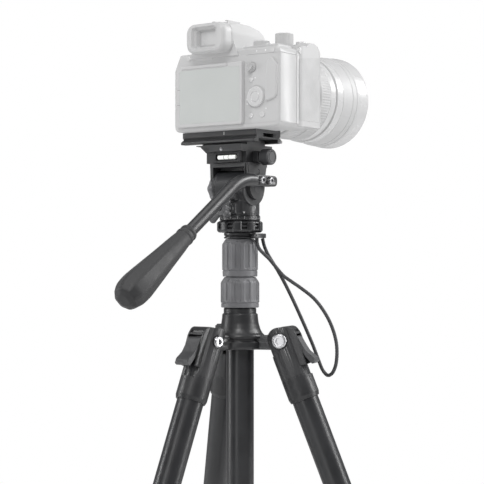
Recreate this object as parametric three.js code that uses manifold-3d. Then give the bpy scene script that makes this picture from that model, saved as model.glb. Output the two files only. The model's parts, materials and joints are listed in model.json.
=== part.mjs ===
// A camera on a fluid-head tripod, with its legs and centre column collapsed.
// Millimetres, +Z up, +Y the way the lens looks, +X the operator's right.
// Heights are measured from the leg pivots while the pieces are made. The last
// lines move the origin to the middle of the footprint, at floor height.

import * as THREE from "three";
import { mergeVertices } from "three/addons/utils/BufferGeometryUtils.js";
import Module from "manifold-3d";

const wasm = await Module();
wasm.setup();

// ---------------------------------------------------------------- dimensions

const GAP = 0.3; // clearance between pieces that touch
const RUN = 0.4; // clearance of a tube or shaft that slides or turns

// legs
const LEG_AZIMUTHS = [21, 141, 261]; // degrees from +X: right, back and left leg
const LEG_SPREAD = 21.3; // degrees from vertical, on the first angle stop
const PIVOT_RADIUS = 44.5; // from the column's axis to a leg's pivot
const LEG_LENGTH = 400; // from the pivot to the floor, along the leg
const LUG_HALF = 8.6;
const EAR_OUT = 15.7; // half the width across a casting's two ears
const EAR_RADIUS = 13.5;
const SOCKET_RADIUS = 15.75;
const SOCKET_END = 62; // from the pivot to the casting's lower rim
const UPPER_TUBE = { r: 13.2, wall: 1.5, from: 26, to: 300 };
const LEG_LOCK = { r: 16.6, from: 288, to: 332 };
const LOWER_TUBE = { r: 11.0, wall: 1.3, from: 58, to: 378 };
const FOOT = { r: 14, from: 378.3, to: 407 };

// column
const OUTER_COLUMN = { r: 13.85, wall: 1.5, from: -226, to: 97 };
const INNER_COLUMN = { r: 11.3, wall: 1.4, from: -190, to: 103 };
const LOWER_LOCK = { r: 19.35, from: 32.5, to: 63 };
const UPPER_LOCK = { r: 17.9, from: 63.4, to: 101 };
const TOP_PLATE = { r: 16, from: 101.4, to: 107 };

// head
const LOCK_RING = { r: 23, from: 107.4, to: 119 };
const SCALE_RING = { r: 20.2, from: 119.3, to: 124 };
const PAN_BASE = { r: 19.5, from: 124.3, to: 142 };
const STUD_RADIUS = 4.7;
const TILT_Y = -3;
const TILT_Z = 151.5;
const DRUM_RADIUS = 18;
const DRUM_HALF = 19.8;
const WALL_IN = 20.3;
const WALL_OUT = 24;
const SHAFT_RADIUS = 4;
const CRADLE_TOP = 176;
const CLAMP = { x0: -36, x1: 20, y0: -25, y1: 27, z0: 176.3, z1: 194 };
const CLAMP_SHAFT_Z = 181.5;
const PAD = { x0: -22, x1: 0, half: 6 };
const CAM = { r: 4.2, throw: 1 };
const TILT_KNOB = { r: 12.8, from: -31, to: -24.4 };
const PAN_KNOB = { x: 2, z: 131, from: -36, to: -29 };
const ARM = { x: 30.8, z: 157.9, r: 6.2, end: 15, bendStart: -24, bendRadius: 55, slope: 34 };
const GRIP_START = 77; // along the sloping part of the arm, from the end of its bend
const GRIP_LENGTH = 112;
const ARM_SCREW_Y = [0, -13.8];

// quick-release plate and camera
const PLATE = { x0: -57, x1: 35, half: 20.5, flange: 23.5, z0: 196, z1: 208 };
const LENS_X = -10;
const LENS_Z = 252;
const BODY = { x0: -62, x1: 69, y0: -28, y1: 18, z0: 208.3, z1: 289 };
const HUMP_TOP = 317;
const SCREEN = { x0: -56, x1: 27, y0: -33.6, y1: -28.4, z0: 212.5, z1: 273 };
const SHUTTER = { r: 5, height: 4.6, x: 57, y: 24.5, z: 291.2 };
const JOYSTICK = { x: 36, z: 267 };
const CONTROL_WHEEL = { r: 10, x: 41, z: 238 };
const MODE_DIAL = { r: 9, height: 13, x: 50, y: 6 };
const REAR_DIAL = { r: 8, height: 5, x: 34, y: -10 };
const MOUNT_FACE = 22;
const LENS_FRONT = 134;
const HOOD_END = 178;

// wrist strap, from the ring under the head, out and down, and back to the ring
const STRAP_DIAMETER = 3.6;
const STRAP_AZIMUTH = 42;

// ----------------------------------------------------------------- materials

function finish(color, roughness, metalness) {
  return new THREE.MeshStandardMaterial({ color, roughness, metalness });
}

const BLACK_METAL = finish(0x1d1e20, 0.42, 0.6);
const BLACK_PLASTIC = finish(0x202123, 0.5, 0.0);
const GREY_RUBBER = finish(0x5a5b5e, 0.75, 0.0);
const DARK_RUBBER = finish(0x3c3d40, 0.7, 0.0);
const STEEL = finish(0xc9cbce, 0.25, 1.0);
const PALE_PLASTIC = finish(0xc6c7c8, 0.55, 0.0);
const PALE_DARKER = finish(0xb8b9bb, 0.6, 0.0);
const SCREEN_GLASS = finish(0xc3cac8, 0.2, 0.0);
const LENS_GLASS = finish(0xaab4ba, 0.05, 0.0);
const VIAL = finish(0xf0f2e8, 0.2, 0.0);
const STRAP_CORD = finish(0x2a2b2d, 0.8, 0.0);

// ------------------------------------------------------------- solid helpers

// Joins a geometry's shared corners, drops flat triangles and turns every face out.
function weld(geometry) {
  const bare = geometry.clone();
  bare.deleteAttribute("normal");
  bare.deleteAttribute("uv");
  const merged = mergeVertices(bare, 1e-4);
  const p = merged.attributes.position;
  const kept = [];
  let volume = 0;
  const [a, b, c] = [new THREE.Vector3(), new THREE.Vector3(), new THREE.Vector3()];
  for (let i = 0; i < merged.index.count; i += 3) {
    const [i0, i1, i2] = [0, 1, 2].map((k) => merged.index.getX(i + k));
    if (i0 === i1 || i1 === i2 || i2 === i0) continue;
    kept.push(i0, i1, i2);
    a.fromBufferAttribute(p, i0);
    b.fromBufferAttribute(p, i1);
    c.fromBufferAttribute(p, i2);
    volume += a.dot(b.cross(c));
  }
  if (volume < 0) kept.reverse();
  merged.setIndex(kept);
  return merged;
}

function toSolid(geometry) {
  const g = weld(geometry);
  return new wasm.Manifold(new wasm.Mesh({
    numProp: 3,
    vertProperties: new Float32Array(g.attributes.position.array),
    triVerts: new Uint32Array(g.index.array),
  }));
}

function fromSolid(solid) {
  const mesh = solid.getMesh();
  const geometry = new THREE.BufferGeometry();
  geometry.setAttribute("position", new THREE.BufferAttribute(new Float32Array(mesh.vertProperties), 3));
  geometry.setIndex([...mesh.triVerts]);
  return geometry;
}

function join(first, ...others) {
  return fromSolid(others.reduce((sum, g) => sum.add(toSolid(g)), toSolid(first)));
}

function cut(first, ...tools) {
  return fromSolid(tools.reduce((rest, g) => rest.subtract(toSolid(g)), toSolid(first)));
}

function common(first, second) {
  return fromSolid(toSolid(first).intersect(toSolid(second)));
}

// A turned piece about +Z. The profile is a list of [radius, height].
function turned(profile, segments = 20) {
  const points = profile.map(([r, z]) => new THREE.Vector2(r, z));
  return new THREE.LatheGeometry(points, segments).rotateX(Math.PI / 2);
}

function turnedAlongX(profile, segments) {
  return turned(profile, segments).rotateY(Math.PI / 2);
}

function turnedAlongY(profile, segments) {
  return turned(profile, segments).rotateX(-Math.PI / 2);
}

// A sleeve about +Z, whose outside radius and bore stay the same along it.
function sleeve(r, bore, z0, z1, segments = 20) {
  return turned([[bore, z0], [r, z0], [r, z1], [bore, z1], [bore, z0]], segments);
}

function rod(r, z0, z1, segments = 20) {
  return turned([[0, z0], [r, z0], [r, z1], [0, z1]], segments);
}

function rodAlongX(r, x0, x1, y, z, segments = 16) {
  return rod(r, x0, x1, segments).rotateY(Math.PI / 2).translate(0, y, z);
}

function rodAlongY(r, y0, y1, x, z, segments = 16) {
  return rod(r, y0, y1, segments).rotateX(-Math.PI / 2).translate(x, 0, z);
}

function block(x0, x1, y0, y1, z0, z1) {
  const box = new THREE.BoxGeometry(x1 - x0, y1 - y0, z1 - z0);
  return box.translate((x0 + x1) / 2, (y0 + y1) / 2, (z0 + z1) / 2);
}

function outline(points) {
  return new THREE.Shape(points.map(([x, y]) => new THREE.Vector2(x, y)));
}

function roundedOutline(x0, x1, y0, y1, r) {
  const shape = new THREE.Shape();
  shape.moveTo(x0 + r, y0);
  shape.absarc(x1 - r, y0 + r, r, -Math.PI / 2, 0);
  shape.absarc(x1 - r, y1 - r, r, 0, Math.PI / 2);
  shape.absarc(x0 + r, y1 - r, r, Math.PI / 2, Math.PI);
  shape.absarc(x0 + r, y0 + r, r, Math.PI, Math.PI * 1.5);
  return shape;
}

function extrude(shape, depth, curveSegments = 4) {
  return new THREE.ExtrudeGeometry(shape, { depth, bevelEnabled: false, curveSegments });
}

// Extrusions of an outline drawn in (y, z), (x, z) or (x, y).
function prismX(shape, x0, x1, curveSegments) {
  const turn = new THREE.Matrix4().makeBasis(
    new THREE.Vector3(0, 1, 0), new THREE.Vector3(0, 0, 1), new THREE.Vector3(1, 0, 0));
  return extrude(shape, x1 - x0, curveSegments).applyMatrix4(turn).translate(x0, 0, 0);
}

function prismY(shape, y0, y1, curveSegments) {
  const turn = new THREE.Matrix4().makeBasis(
    new THREE.Vector3(1, 0, 0), new THREE.Vector3(0, 0, 1), new THREE.Vector3(0, -1, 0));
  return extrude(shape, y1 - y0, curveSegments).applyMatrix4(turn).translate(0, y1, 0);
}

function prismZ(shape, z0, z1, curveSegments) {
  return extrude(shape, z1 - z0, curveSegments).translate(0, 0, z0);
}

// A round outline whose radius swings between r and r - depth, count times around.
function lobedOutline(r, depth, count, pointsPerLobe) {
  const points = [];
  for (let i = 0; i < count * pointsPerLobe; i += 1) {
    const turn = (i / (count * pointsPerLobe)) * 2 * Math.PI;
    const wave = (1 + Math.cos(turn * count)) / 2;
    const radius = r - depth * (1 - wave);
    points.push([radius * Math.cos(turn), radius * Math.sin(turn)]);
  }
  return outline(points);
}

function radians(degrees) {
  return (degrees * Math.PI) / 180;
}

const model = new THREE.Group();

function place(name, geometry, material, parent = model) {
  const mesh = new THREE.Mesh(weld(geometry), material);
  mesh.name = name;
  parent.add(mesh);
  return mesh;
}

// ---------------------------------------------------------------------- legs

// Each leg is made about its pivot: -Z runs down the leg, +X faces out and
// Y is the pivot bolt's axis.

function legCasting() {
  const ears = rodAlongY(EAR_RADIUS, -EAR_OUT, EAR_OUT, 0, 0, 20);
  const cheeks = block(-11, 12.5, -EAR_OUT, EAR_OUT, -26, 0);
  const socket = rod(SOCKET_RADIUS, -SOCKET_END, -16, 20);
  const frame = block(6, 16.6, -12.6, 12.6, -22, 12);
  const whole = join(ears, cheeks, socket, frame);
  const fork = prismY(outline([[-30, 30], [-30, -12], [-4, -12], [4, -12], [10.4, -6], [10.4, 30]]),
    -LUG_HALF - RUN, LUG_HALF + RUN);
  const bore = rod(UPPER_TUBE.r + GAP, -SOCKET_END - 1, -UPPER_TUBE.from + GAP, 20);
  const boltHole = rodAlongY(SHAFT_RADIUS + 0.2, -20, 20, 0, 0, 12);
  const tabSlot = block(12.2, 20, -9.6, 9.6, -40, 8);
  return cut(whole, fork, bore, boltHole, tabSlot);
}

// The angle stop's release tab, drawn from the side, flaring out to its grip.
function angleTab() {
  const side = outline([
    [12.6, 6.5], [16.2, 6.5], [17.4, -4], [20.4, -20], [24.6, -28], [24.0, -32],
    [21.4, -32.4], [17.4, -22], [16.2, -15], [12.6, -8],
  ]);
  return prismY(side, -9.2, 9.2);
}

function pivotBolt() {
  const reach = EAR_OUT + GAP;
  const half = [[0, -18.9], [7.0, -18.9], [7.75, -18.1], [7.75, -reach], [SHAFT_RADIUS, -reach]];
  const profile = [...half, ...half.map(([r, y]) => [r, -y]).reverse()];
  const bolt = turnedAlongY(profile, 16);
  const socket = (y0, y1) => rodAlongY(3.6, y0, y1, 0, 0, 6);
  return cut(bolt, socket(-20, -16.8), socket(16.8, 20));
}

function legTube(tube) {
  return sleeve(tube.r, tube.r - tube.wall, -tube.to, -tube.from);
}

function legLock() {
  const { r, from, to } = LEG_LOCK;
  const ribs = prismZ(lobedOutline(r, 1, 10, 2), -to, -from);
  const edges = turned([
    [0, -to], [r - 2.4, -to], [r, -to + 3.4], [r, -from - 4], [r - 1.6, -from], [0, -from],
  ]);
  const tubeBore = rod(UPPER_TUBE.r + GAP, -UPPER_TUBE.to - GAP, -from + 1, 20);
  const throughBore = rod(LOWER_TUBE.r + RUN, -to - 1, -from, 20);
  return cut(common(ribs, edges), tubeBore, throughBore);
}

function foot() {
  const { r, from, to } = FOOT;
  const spigot = LOWER_TUBE.r - LOWER_TUBE.wall - GAP;
  const rubber = turned([
    [0, -to], [8.5, -to], [12.4, -to + 3], [r, -to + 8], [r, -from - 6], [12.6, -from], [spigot, -from],
    [spigot, -from + 18], [0, -from + 18],
  ], 20);
  const floor = block(-60, 60, -60, 60, -60, 0).rotateY(radians(LEG_SPREAD)).translate(0, 0, -LEG_LENGTH);
  return cut(rubber, floor);
}

const legParts = [
  ["casting", legCasting(), BLACK_METAL],
  ["angle_tab", angleTab(), DARK_RUBBER],
  ["pivot_bolt", pivotBolt(), STEEL],
  ["upper_tube", legTube(UPPER_TUBE), BLACK_METAL],
  ["twist_lock", legLock(), GREY_RUBBER],
  ["lower_tube", legTube(LOWER_TUBE), BLACK_METAL],
  ["foot", foot(), DARK_RUBBER],
];

LEG_AZIMUTHS.forEach((azimuth, index) => {
  const leg = new THREE.Group();
  const turn = radians(azimuth);
  leg.position.set(PIVOT_RADIUS * Math.cos(turn), PIVOT_RADIUS * Math.sin(turn), 0);
  leg.rotation.set(0, -radians(LEG_SPREAD), turn, "ZYX");
  model.add(leg);
  legParts.forEach(([name, geometry, material]) => {
    place(`leg_${index + 1}_${name}`, geometry, material, leg);
  });
});

// -------------------------------------------------------------------- column

function spider() {
  const bell = turned([
    [0, -9], [22, -9], [24.5, -6], [24.5, 5], [22.4, 7.4], [20.3, 10], [18.4, 18], [17.6, 26.4],
    [16.1, 27], [16.1, 32], [15.4, 32.2], [15.4, 59], [0, 59],
  ], 24);
  const lugs = LEG_AZIMUTHS.map((azimuth) => {
    const side = new THREE.Shape();
    side.moveTo(10, -9);
    side.lineTo(PIVOT_RADIUS - 3, -9);
    side.absarc(PIVOT_RADIUS, 0, 9.4, radians(-108), radians(126));
    side.lineTo(24, 5);
    side.lineTo(10, 5);
    const lug = prismY(side, -LUG_HALF, LUG_HALF, 8);
    const hole = rodAlongY(SHAFT_RADIUS + 0.2, -20, 20, PIVOT_RADIUS, 0, 12);
    return cut(lug, hole).rotateZ(radians(azimuth));
  });
  return cut(join(bell, ...lugs), rod(OUTER_COLUMN.r + RUN, -12, 62, 24));
}

function ribbedLock(lock, bore, mouth, ribs, bandHeight) {
  const fluted = prismZ(lobedOutline(lock.r, 1.1, ribs, 2), lock.from, lock.to);
  const band = sleeve(lock.r - 0.4, lock.r - 3, lock.from, lock.from + bandHeight, 24);
  const edges = turned([
    [0, lock.from], [lock.r - 0.8, lock.from], [lock.r, lock.from + 1], [lock.r, lock.to - 5],
    [lock.r - 3.6, lock.to], [0, lock.to],
  ], 24);
  const whole = join(common(fluted, edges), band);
  return cut(whole, rod(bore, lock.from - 1, mouth.z, 24), rod(mouth.r, mouth.z - 1, lock.to + 1, 24));
}

function columnTube(tube) {
  return sleeve(tube.r, tube.r - tube.wall, tube.from, tube.to, 24);
}

function columnEndCap() {
  const inside = OUTER_COLUMN.r - OUTER_COLUMN.wall - GAP;
  const z = OUTER_COLUMN.from;
  return turned([
    [0, z - 8], [11, z - 8], [13.4, z - 6], [13.4, z - GAP],
    [inside, z - GAP], [inside, z + 10], [0, z + 10],
  ], 24);
}

function topPlate() {
  const { r, from, to } = TOP_PLATE;
  const inside = INNER_COLUMN.r - INNER_COLUMN.wall - GAP;
  return turned([
    [0, 84], [inside, 84], [inside, INNER_COLUMN.to + GAP], [r - 1.2, INNER_COLUMN.to + GAP],
    [r - 1.2, from + 3], [r, from + 3.2], [r, to], [STUD_RADIUS, to], [STUD_RADIUS, to + 8.5],
    [0, to + 8.5],
  ], 24);
}

place("spider", spider(), BLACK_METAL);
place("column_lower_lock",
  ribbedLock(LOWER_LOCK, 15.8, { z: 60, r: OUTER_COLUMN.r + RUN }, 12, 4), GREY_RUBBER);
place("column_outer_tube", columnTube(OUTER_COLUMN), BLACK_METAL);
place("column_end_cap", columnEndCap(), BLACK_PLASTIC);
place("column_upper_lock",
  ribbedLock(
    UPPER_LOCK, OUTER_COLUMN.r + GAP, { z: OUTER_COLUMN.to + GAP, r: INNER_COLUMN.r + RUN }, 12, 5.4,
  ),
  GREY_RUBBER);
place("column_inner_tube", columnTube(INNER_COLUMN), BLACK_METAL);
place("column_top_plate", topPlate(), BLACK_METAL);

// ---------------------------------------------------------------- head: base

function lockRing() {
  const { r, from, to } = LOCK_RING;
  const lobes = prismZ(lobedOutline(r, 1.6, 9, 2), from, to);
  const edges = turned([[0, from], [r - 2, from], [r, from + 2], [r, to - 2], [r - 2.5, to], [0, to]], 24);
  return cut(common(lobes, edges), rod(STUD_RADIUS + RUN, from - 1, to + 1, 20));
}

function panBase() {
  const { r, from, to } = PAN_BASE;
  const housing = turned([[0, from], [r, from], [r, to - 4], [r - 2.5, to + 1], [0, to + 1]], 24);
  const drum = rodAlongX(DRUM_RADIUS, -DRUM_HALF, DRUM_HALF, TILT_Y, TILT_Z, 24);
  const neck = block(-15, 15, TILT_Y - 12, TILT_Y + 12, to - 2, TILT_Z);
  const boss = rodAlongY(5.4, -22, -14, PAN_KNOB.x, PAN_KNOB.z, 16);
  const pocket = rodAlongY(2.4 + RUN, -24, -10, PAN_KNOB.x, PAN_KNOB.z, 12);
  const tiltBore = rodAlongX(SHAFT_RADIUS + 0.2, -30, 30, TILT_Y, TILT_Z, 20);
  return cut(join(housing, drum, neck, boss), tiltBore, pocket);
}

// A knob with one long wing and three short ones, on a screw that presses on the pan bearing.
function panKnob() {
  const wings = [[225, 19], [315, 12.5], [45, 12.5], [135, 12.5]].map(([angle, reach]) => {
    const bar = roundedOutline(-4, reach, -4, 4, 3.9);
    return prismZ(bar, 0, 7, 4).rotateZ(radians(angle));
  });
  const disc = rod(7.5, 0, 7, 16);
  const head = join(disc, ...wings).rotateX(Math.PI / 2).translate(PAN_KNOB.x, PAN_KNOB.to, PAN_KNOB.z);
  const hub = rodAlongY(4.4, PAN_KNOB.to - 1, -22.3, PAN_KNOB.x, PAN_KNOB.z, 16);
  const screw = rodAlongY(2.4, -23, -12, PAN_KNOB.x, PAN_KNOB.z, 12);
  return join(head, hub, screw);
}

place("head_lock_ring", lockRing(), BLACK_METAL);
const scaleRing = sleeve(SCALE_RING.r, STUD_RADIUS + RUN, SCALE_RING.from, SCALE_RING.to, 24);
place("pan_scale_ring", scaleRing, BLACK_METAL);
place("pan_base", panBase(), BLACK_METAL);
place("pan_knob", panKnob(), BLACK_PLASTIC);

// -------------------------------------------------------------- head: cradle

function cradleWall(x0, x1) {
  const side = new THREE.Shape();
  side.moveTo(TILT_Y + 12, TILT_Z);
  side.lineTo(TILT_Y + 16, CRADLE_TOP);
  side.lineTo(TILT_Y - 15, CRADLE_TOP);
  side.lineTo(TILT_Y - 14, TILT_Z + 4);
  side.lineTo(TILT_Y - 12, TILT_Z);
  side.absarc(TILT_Y, TILT_Z, 12, Math.PI, 2 * Math.PI);
  return prismX(side, x0, x1, 14);
}

function tiltCradle() {
  const deck = block(-WALL_OUT, WALL_OUT, TILT_Y - 15, TILT_Y + 16, CRADLE_TOP - 4, CRADLE_TOP);
  const whole = join(cradleWall(-WALL_OUT, -WALL_IN), cradleWall(WALL_IN, WALL_OUT), deck);
  const shaftHole = rodAlongX(SHAFT_RADIUS + 0.2, -30, 30, TILT_Y, TILT_Z, 20);
  const screwHoles = ARM_SCREW_Y.map((y) => rodAlongX(2.2, WALL_IN - 1, WALL_OUT + 1, y, ARM.z, 12));
  return cut(whole, shaftHole, ...screwHoles);
}

function tiltShaft() {
  return turnedAlongX([
    [0, -29], [SHAFT_RADIUS, -29], [SHAFT_RADIUS, WALL_OUT - 0.6], [0, WALL_OUT - 0.6],
  ], 20).translate(0, TILT_Y, TILT_Z);
}

function tiltKnob() {
  const { r, from, to } = TILT_KNOB;
  const lobes = prismZ(lobedOutline(r, 2.2, 6, 4), from, to);
  const side = [[0, from], [r - 2, from], [r, from + 1.6], [r, to - 1.2], [r - 1.4, to], [0, to]];
  const edges = turned(side, 20);
  const bore = rod(SHAFT_RADIUS + 0.2, from + 1.7, to + 1, 16);
  return cut(common(lobes, edges), bore).rotateY(Math.PI / 2).translate(0, TILT_Y, TILT_Z);
}

// The clamp's dovetail rail, which the plate's channel slides over, seen along X.
function clampBody() {
  const { x0, x1, y0, y1, z0, z1 } = CLAMP;
  const side = outline([
    [y0 + 7, z0], [y1 - 7, z0], [y1 - 4, z1 - 8], [y1, z1 - 2], [y1, z1], [15.0, z1], [15.0, PLATE.z0],
    [15.9, PLATE.z0 + 3], [-15.9, PLATE.z0 + 3], [-15.0, PLATE.z0], [-15.0, z1], [y0, z1], [y0, z1 - 2],
    [y0 + 4, z1 - 8],
  ]);
  const boss = block(x1 - 1, x1 + 6.6, -5.4, 5.4, CLAMP_SHAFT_Z - 5, CLAMP_SHAFT_Z + 6);
  const whole = join(prismX(side, x0, x1), boss);
  const bore = rodAlongX(SHAFT_RADIUS + RUN, PAD.x0 - 1.5, x1 + 8, 0, CLAMP_SHAFT_Z, 20);
  const camReach = CAM.r + CAM.throw + 0.5;
  const camRoom = rodAlongX(camReach, PAD.x0 - 0.5, PAD.x1 + 0.5, 0, CLAMP_SHAFT_Z + 0.2, 20);
  const padWell = block(PAD.x0 - GAP, PAD.x1 + GAP, -PAD.half - GAP, PAD.half + GAP, CLAMP_SHAFT_Z, 202);
  const vialSlot = block(-13, 12, y0, -17.6, CLAMP_SHAFT_Z - 2.9, CLAMP_SHAFT_Z + 2.9);
  return cut(whole, bore, camRoom, padWell, vialSlot);
}

function clampPad() {
  const foot = CLAMP_SHAFT_Z + CAM.r + CAM.throw + GAP;
  return block(PAD.x0, PAD.x1, -PAD.half, PAD.half, foot, PLATE.z0 + 2.9);
}

// The clamp's knob, with its shaft and the cam that lifts the pad against the plate.
function clampKnob() {
  const x0 = CLAMP.x1 + 6.9;
  const knob = turnedAlongX([
    [0, x0 + 1], [6.4, x0 + 1], [8, x0 + 2.4], [8, x0 + 11.5], [7, x0 + 13], [5.6, x0 + 13],
    [5.2, x0 + 12.2], [0, x0 + 12.2],
  ], 24);
  const shaft = rodAlongX(SHAFT_RADIUS, PAD.x0 - 1, x0 + 4, 0, 0, 20);
  const cam = rodAlongX(CAM.r, PAD.x0 + 0.5, PAD.x1 - 0.5, 0, CAM.throw, 20);
  return join(knob, shaft, cam).translate(0, 0, CLAMP_SHAFT_Z);
}

place("tilt_cradle", tiltCradle(), BLACK_METAL);
place("tilt_shaft", tiltShaft(), STEEL);
place("tilt_knob", tiltKnob(), GREY_RUBBER);
place("clamp_body", clampBody(), BLACK_METAL);
place("clamp_pad", clampPad(), STEEL);
place("clamp_knob", clampKnob(), BLACK_PLASTIC);
place("bubble_vial", rodAlongX(2.3, -11.5, 10.5, -20.4, CLAMP_SHAFT_Z, 12), VIAL);

// ----------------------------------------------------------------- head: arm

// The arm leaves its screwed end level, bends down and runs straight into the grip.
const slope = radians(ARM.slope);
const bendEnd = {
  y: ARM.bendStart - ARM.bendRadius * Math.sin(slope),
  z: ARM.z - ARM.bendRadius * (1 - Math.cos(slope)),
};

function alongArm(distance) {
  const y = bendEnd.y - distance * Math.cos(slope);
  const z = bendEnd.z - distance * Math.sin(slope);
  return new THREE.Vector3(ARM.x, y, z);
}

function armTube() {
  const points = [new THREE.Vector3(ARM.x, ARM.bendStart + 6, ARM.z)];
  for (let i = 0; i <= 6; i += 1) {
    const turn = (slope * i) / 6;
    points.push(new THREE.Vector3(
      ARM.x,
      ARM.bendStart - ARM.bendRadius * Math.sin(turn),
      ARM.z - ARM.bendRadius * (1 - Math.cos(turn)),
    ));
  }
  points.push(alongArm(GRIP_START + GRIP_LENGTH - 14));
  const path = new THREE.CurvePath();
  for (let i = 1; i < points.length; i += 1) path.add(new THREE.LineCurve3(points[i - 1], points[i]));
  const curve = new THREE.CatmullRomCurve3(path.getSpacedPoints(40), false, "centripetal");
  const section = new THREE.Shape();
  section.absarc(0, 0, ARM.r, 0, 2 * Math.PI);
  const tube = new THREE.ExtrudeGeometry(section, { steps: 16, curveSegments: 6, extrudePath: curve });
  const lug = prismX(roundedOutline(-21, ARM.end, ARM.z - 5.3, ARM.z + 5.3, 5.2), WALL_OUT + GAP, 35.6);
  const holes = ARM_SCREW_Y.map((y) => rodAlongX(2.2, 20, 42, y, ARM.z, 12));
  return cut(join(tube, lug), ...holes);
}

function armScrew(y) {
  const screw = turnedAlongX([
    [0, WALL_IN + 0.4], [2, WALL_IN + 0.4], [2, 35.9], [3.4, 35.9], [3.4, 39.2], [2.9, 39.8], [0, 39.8],
  ], 16).translate(0, y, ARM.z);
  return cut(screw, rodAlongX(1.7, 37.6, 41, y, ARM.z, 6));
}

function armGrip() {
  const profile = [
    [6.5, 0], [7.8, 0], [8.4, 3], [8.0, 5], [8.9, 8], [8.6, 11], [9.6, 22], [11.8, 48], [14.6, 78],
    [15.6, 91], [14.8, 102], [11.5, 109], [6, GRIP_LENGTH], [0, GRIP_LENGTH],
    [0, GRIP_LENGTH - 13], [6.5, GRIP_LENGTH - 13], [6.5, 0],
  ];
  const start = alongArm(GRIP_START);
  const along = new THREE.Vector3(0, -Math.cos(slope), -Math.sin(slope));
  const turn = new THREE.Quaternion().setFromUnitVectors(new THREE.Vector3(0, 0, 1), along);
  return turned(profile, 14).applyQuaternion(turn).translate(start.x, start.y, start.z);
}

place("arm_tube", armTube(), BLACK_METAL);
place("arm_grip", armGrip(), DARK_RUBBER);
ARM_SCREW_Y.forEach((y, index) => place(`arm_screw_${index + 1}`, armScrew(y), STEEL));

// ------------------------------------------------------ quick-release plate

function releasePlate() {
  const { x0, x1, half, flange, z0, z1 } = PLATE;
  const right = [
    [15.5, z0], [flange, z0], [flange, z0 + 2.2], [half - 1.5, z0 + 5.2], [half, z0 + 7], [half, z1],
  ];
  const left = right.map(([y, z]) => [-y, z]).reverse();
  const plate = prismX(outline([...right, ...left, [-16.4, z0 + 3.5], [16.4, z0 + 3.5]]), x0, x1);
  const endSlots = [x0 - 1, x1 - 8].map((x) => block(x, x + 9, -8.5, 8.5, z0 + 5, z0 + 8.8));
  const counterbore = rod(9, z0 + 3, z0 + 8.6, 20).translate(LENS_X, 0, 0);
  const hole = rod(3.5, z0 + 3, z1 + 1, 16).translate(LENS_X, 0, 0);
  return cut(plate, ...endSlots, counterbore, hole);
}

function cameraScrew() {
  const z = PLATE.z0;
  return turned([
    [0, z + 4.4], [8.4, z + 4.4], [8.4, z + 8.2], [3.2, z + 8.2],
    [3.2, PLATE.z1 + 5.6], [0, PLATE.z1 + 5.6],
  ], 20).translate(LENS_X, 0, 0);
}

place("release_plate", releasePlate(), BLACK_METAL);
place("camera_screw", cameraScrew(), STEEL);

// -------------------------------------------------------------------- camera

function cameraBody() {
  const { x0, x1, y0, y1, z0, z1 } = BODY;
  const corner = prismY(outline([[x0 - 1, z1 - 21], [x0 + 8.5, z1], [x0 - 1, z1]]), y0 - 1, y1 + 1);
  const shell = cut(prismY(roundedOutline(x0, x1, z0, z1 - 3, 7), y0, y1, 3), corner);
  const shoulderSide = [[20, z1 - 10], [x1 - 4, z1 - 10], [x1 - 7, z1], [20, z1]];
  const shoulder = prismY(outline(shoulderSide), y0 + 6, y1 - 2);
  const hump = prismX(outline([
    [-30, z1 - 6], [-30, 303], [-27, 311], [-8, HUMP_TOP - 2], [8, HUMP_TOP - 2], [27, 310], [29, 300],
    [23, z1 + 1], [20, z1 - 6],
  ]), LENS_X - 26, LENS_X + 26);
  const sides = prismY(outline([
    [LENS_X - 30, z1 - 7], [LENS_X + 30, z1 - 7], [LENS_X + 20, 303], [LENS_X + 15, HUMP_TOP],
    [LENS_X - 15, HUMP_TOP], [LENS_X - 20, 303],
  ]), -40, 40);
  const grip = prismZ(roundedOutline(40, x1 + 2, 2, 43, 9), z0 + 2, 295, 4);
  const gripTop = prismX(outline([
    [-40, 200], [60, 200], [60, 268], [43, 282], [31, 293], [18, 293], [15.6, 289], [-40, 289],
  ]), 30, 80);
  const shoe = block(LENS_X - 10.5, LENS_X + 10.5, -20, 0, HUMP_TOP - 6, HUMP_TOP + 0.6);
  const shoeSlot = block(LENS_X - 8.8, LENS_X + 8.8, -21, -1.5, HUMP_TOP - 1.4, HUMP_TOP - 0.2);
  const shoeMouth = block(LENS_X - 6.5, LENS_X + 6.5, -21, -1.5, HUMP_TOP - 0.8, HUMP_TOP + 2);
  const mountRing = rodAlongY(30.5, y1 - 2, MOUNT_FACE - GAP, LENS_X, LENS_Z, 28);
  const mountBore = rodAlongY(25, y1 - 16, 30, LENS_X, LENS_Z, 28);
  const whole = join(shell, shoulder, common(hump, sides), common(grip, gripTop), shoe, mountRing);
  const { x0: s0, x1: s1, z0: t0, z1: t1 } = SCREEN;
  const screenRoom = block(s0 - GAP, s1 + GAP, -40, SCREEN.y1 + GAP + 0.8, t0 - GAP, t1 + GAP);
  const screwHole = rod(3.5, z0 - 1, z0 + 6.4, 16).translate(LENS_X, 0, 0);
  const shutterWell = rod(SHUTTER.r + RUN, SHUTTER.z - 2, 300, 20).translate(SHUTTER.x, SHUTTER.y, 0);
  const stickWell = rodAlongY(5, y0 - 1, y0 + 1, JOYSTICK.x, JOYSTICK.z);
  const shoeFloor = block(LENS_X - 6, LENS_X + 6, -19.6, -1.9, HUMP_TOP - 1.5, HUMP_TOP - 1.1);
  const hollowed = cut(
    whole, shoeSlot, shoeMouth, mountBore, screenRoom, screwHole, shutterWell, stickWell,
  );
  return join(hollowed, shoeFloor);
}

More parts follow.
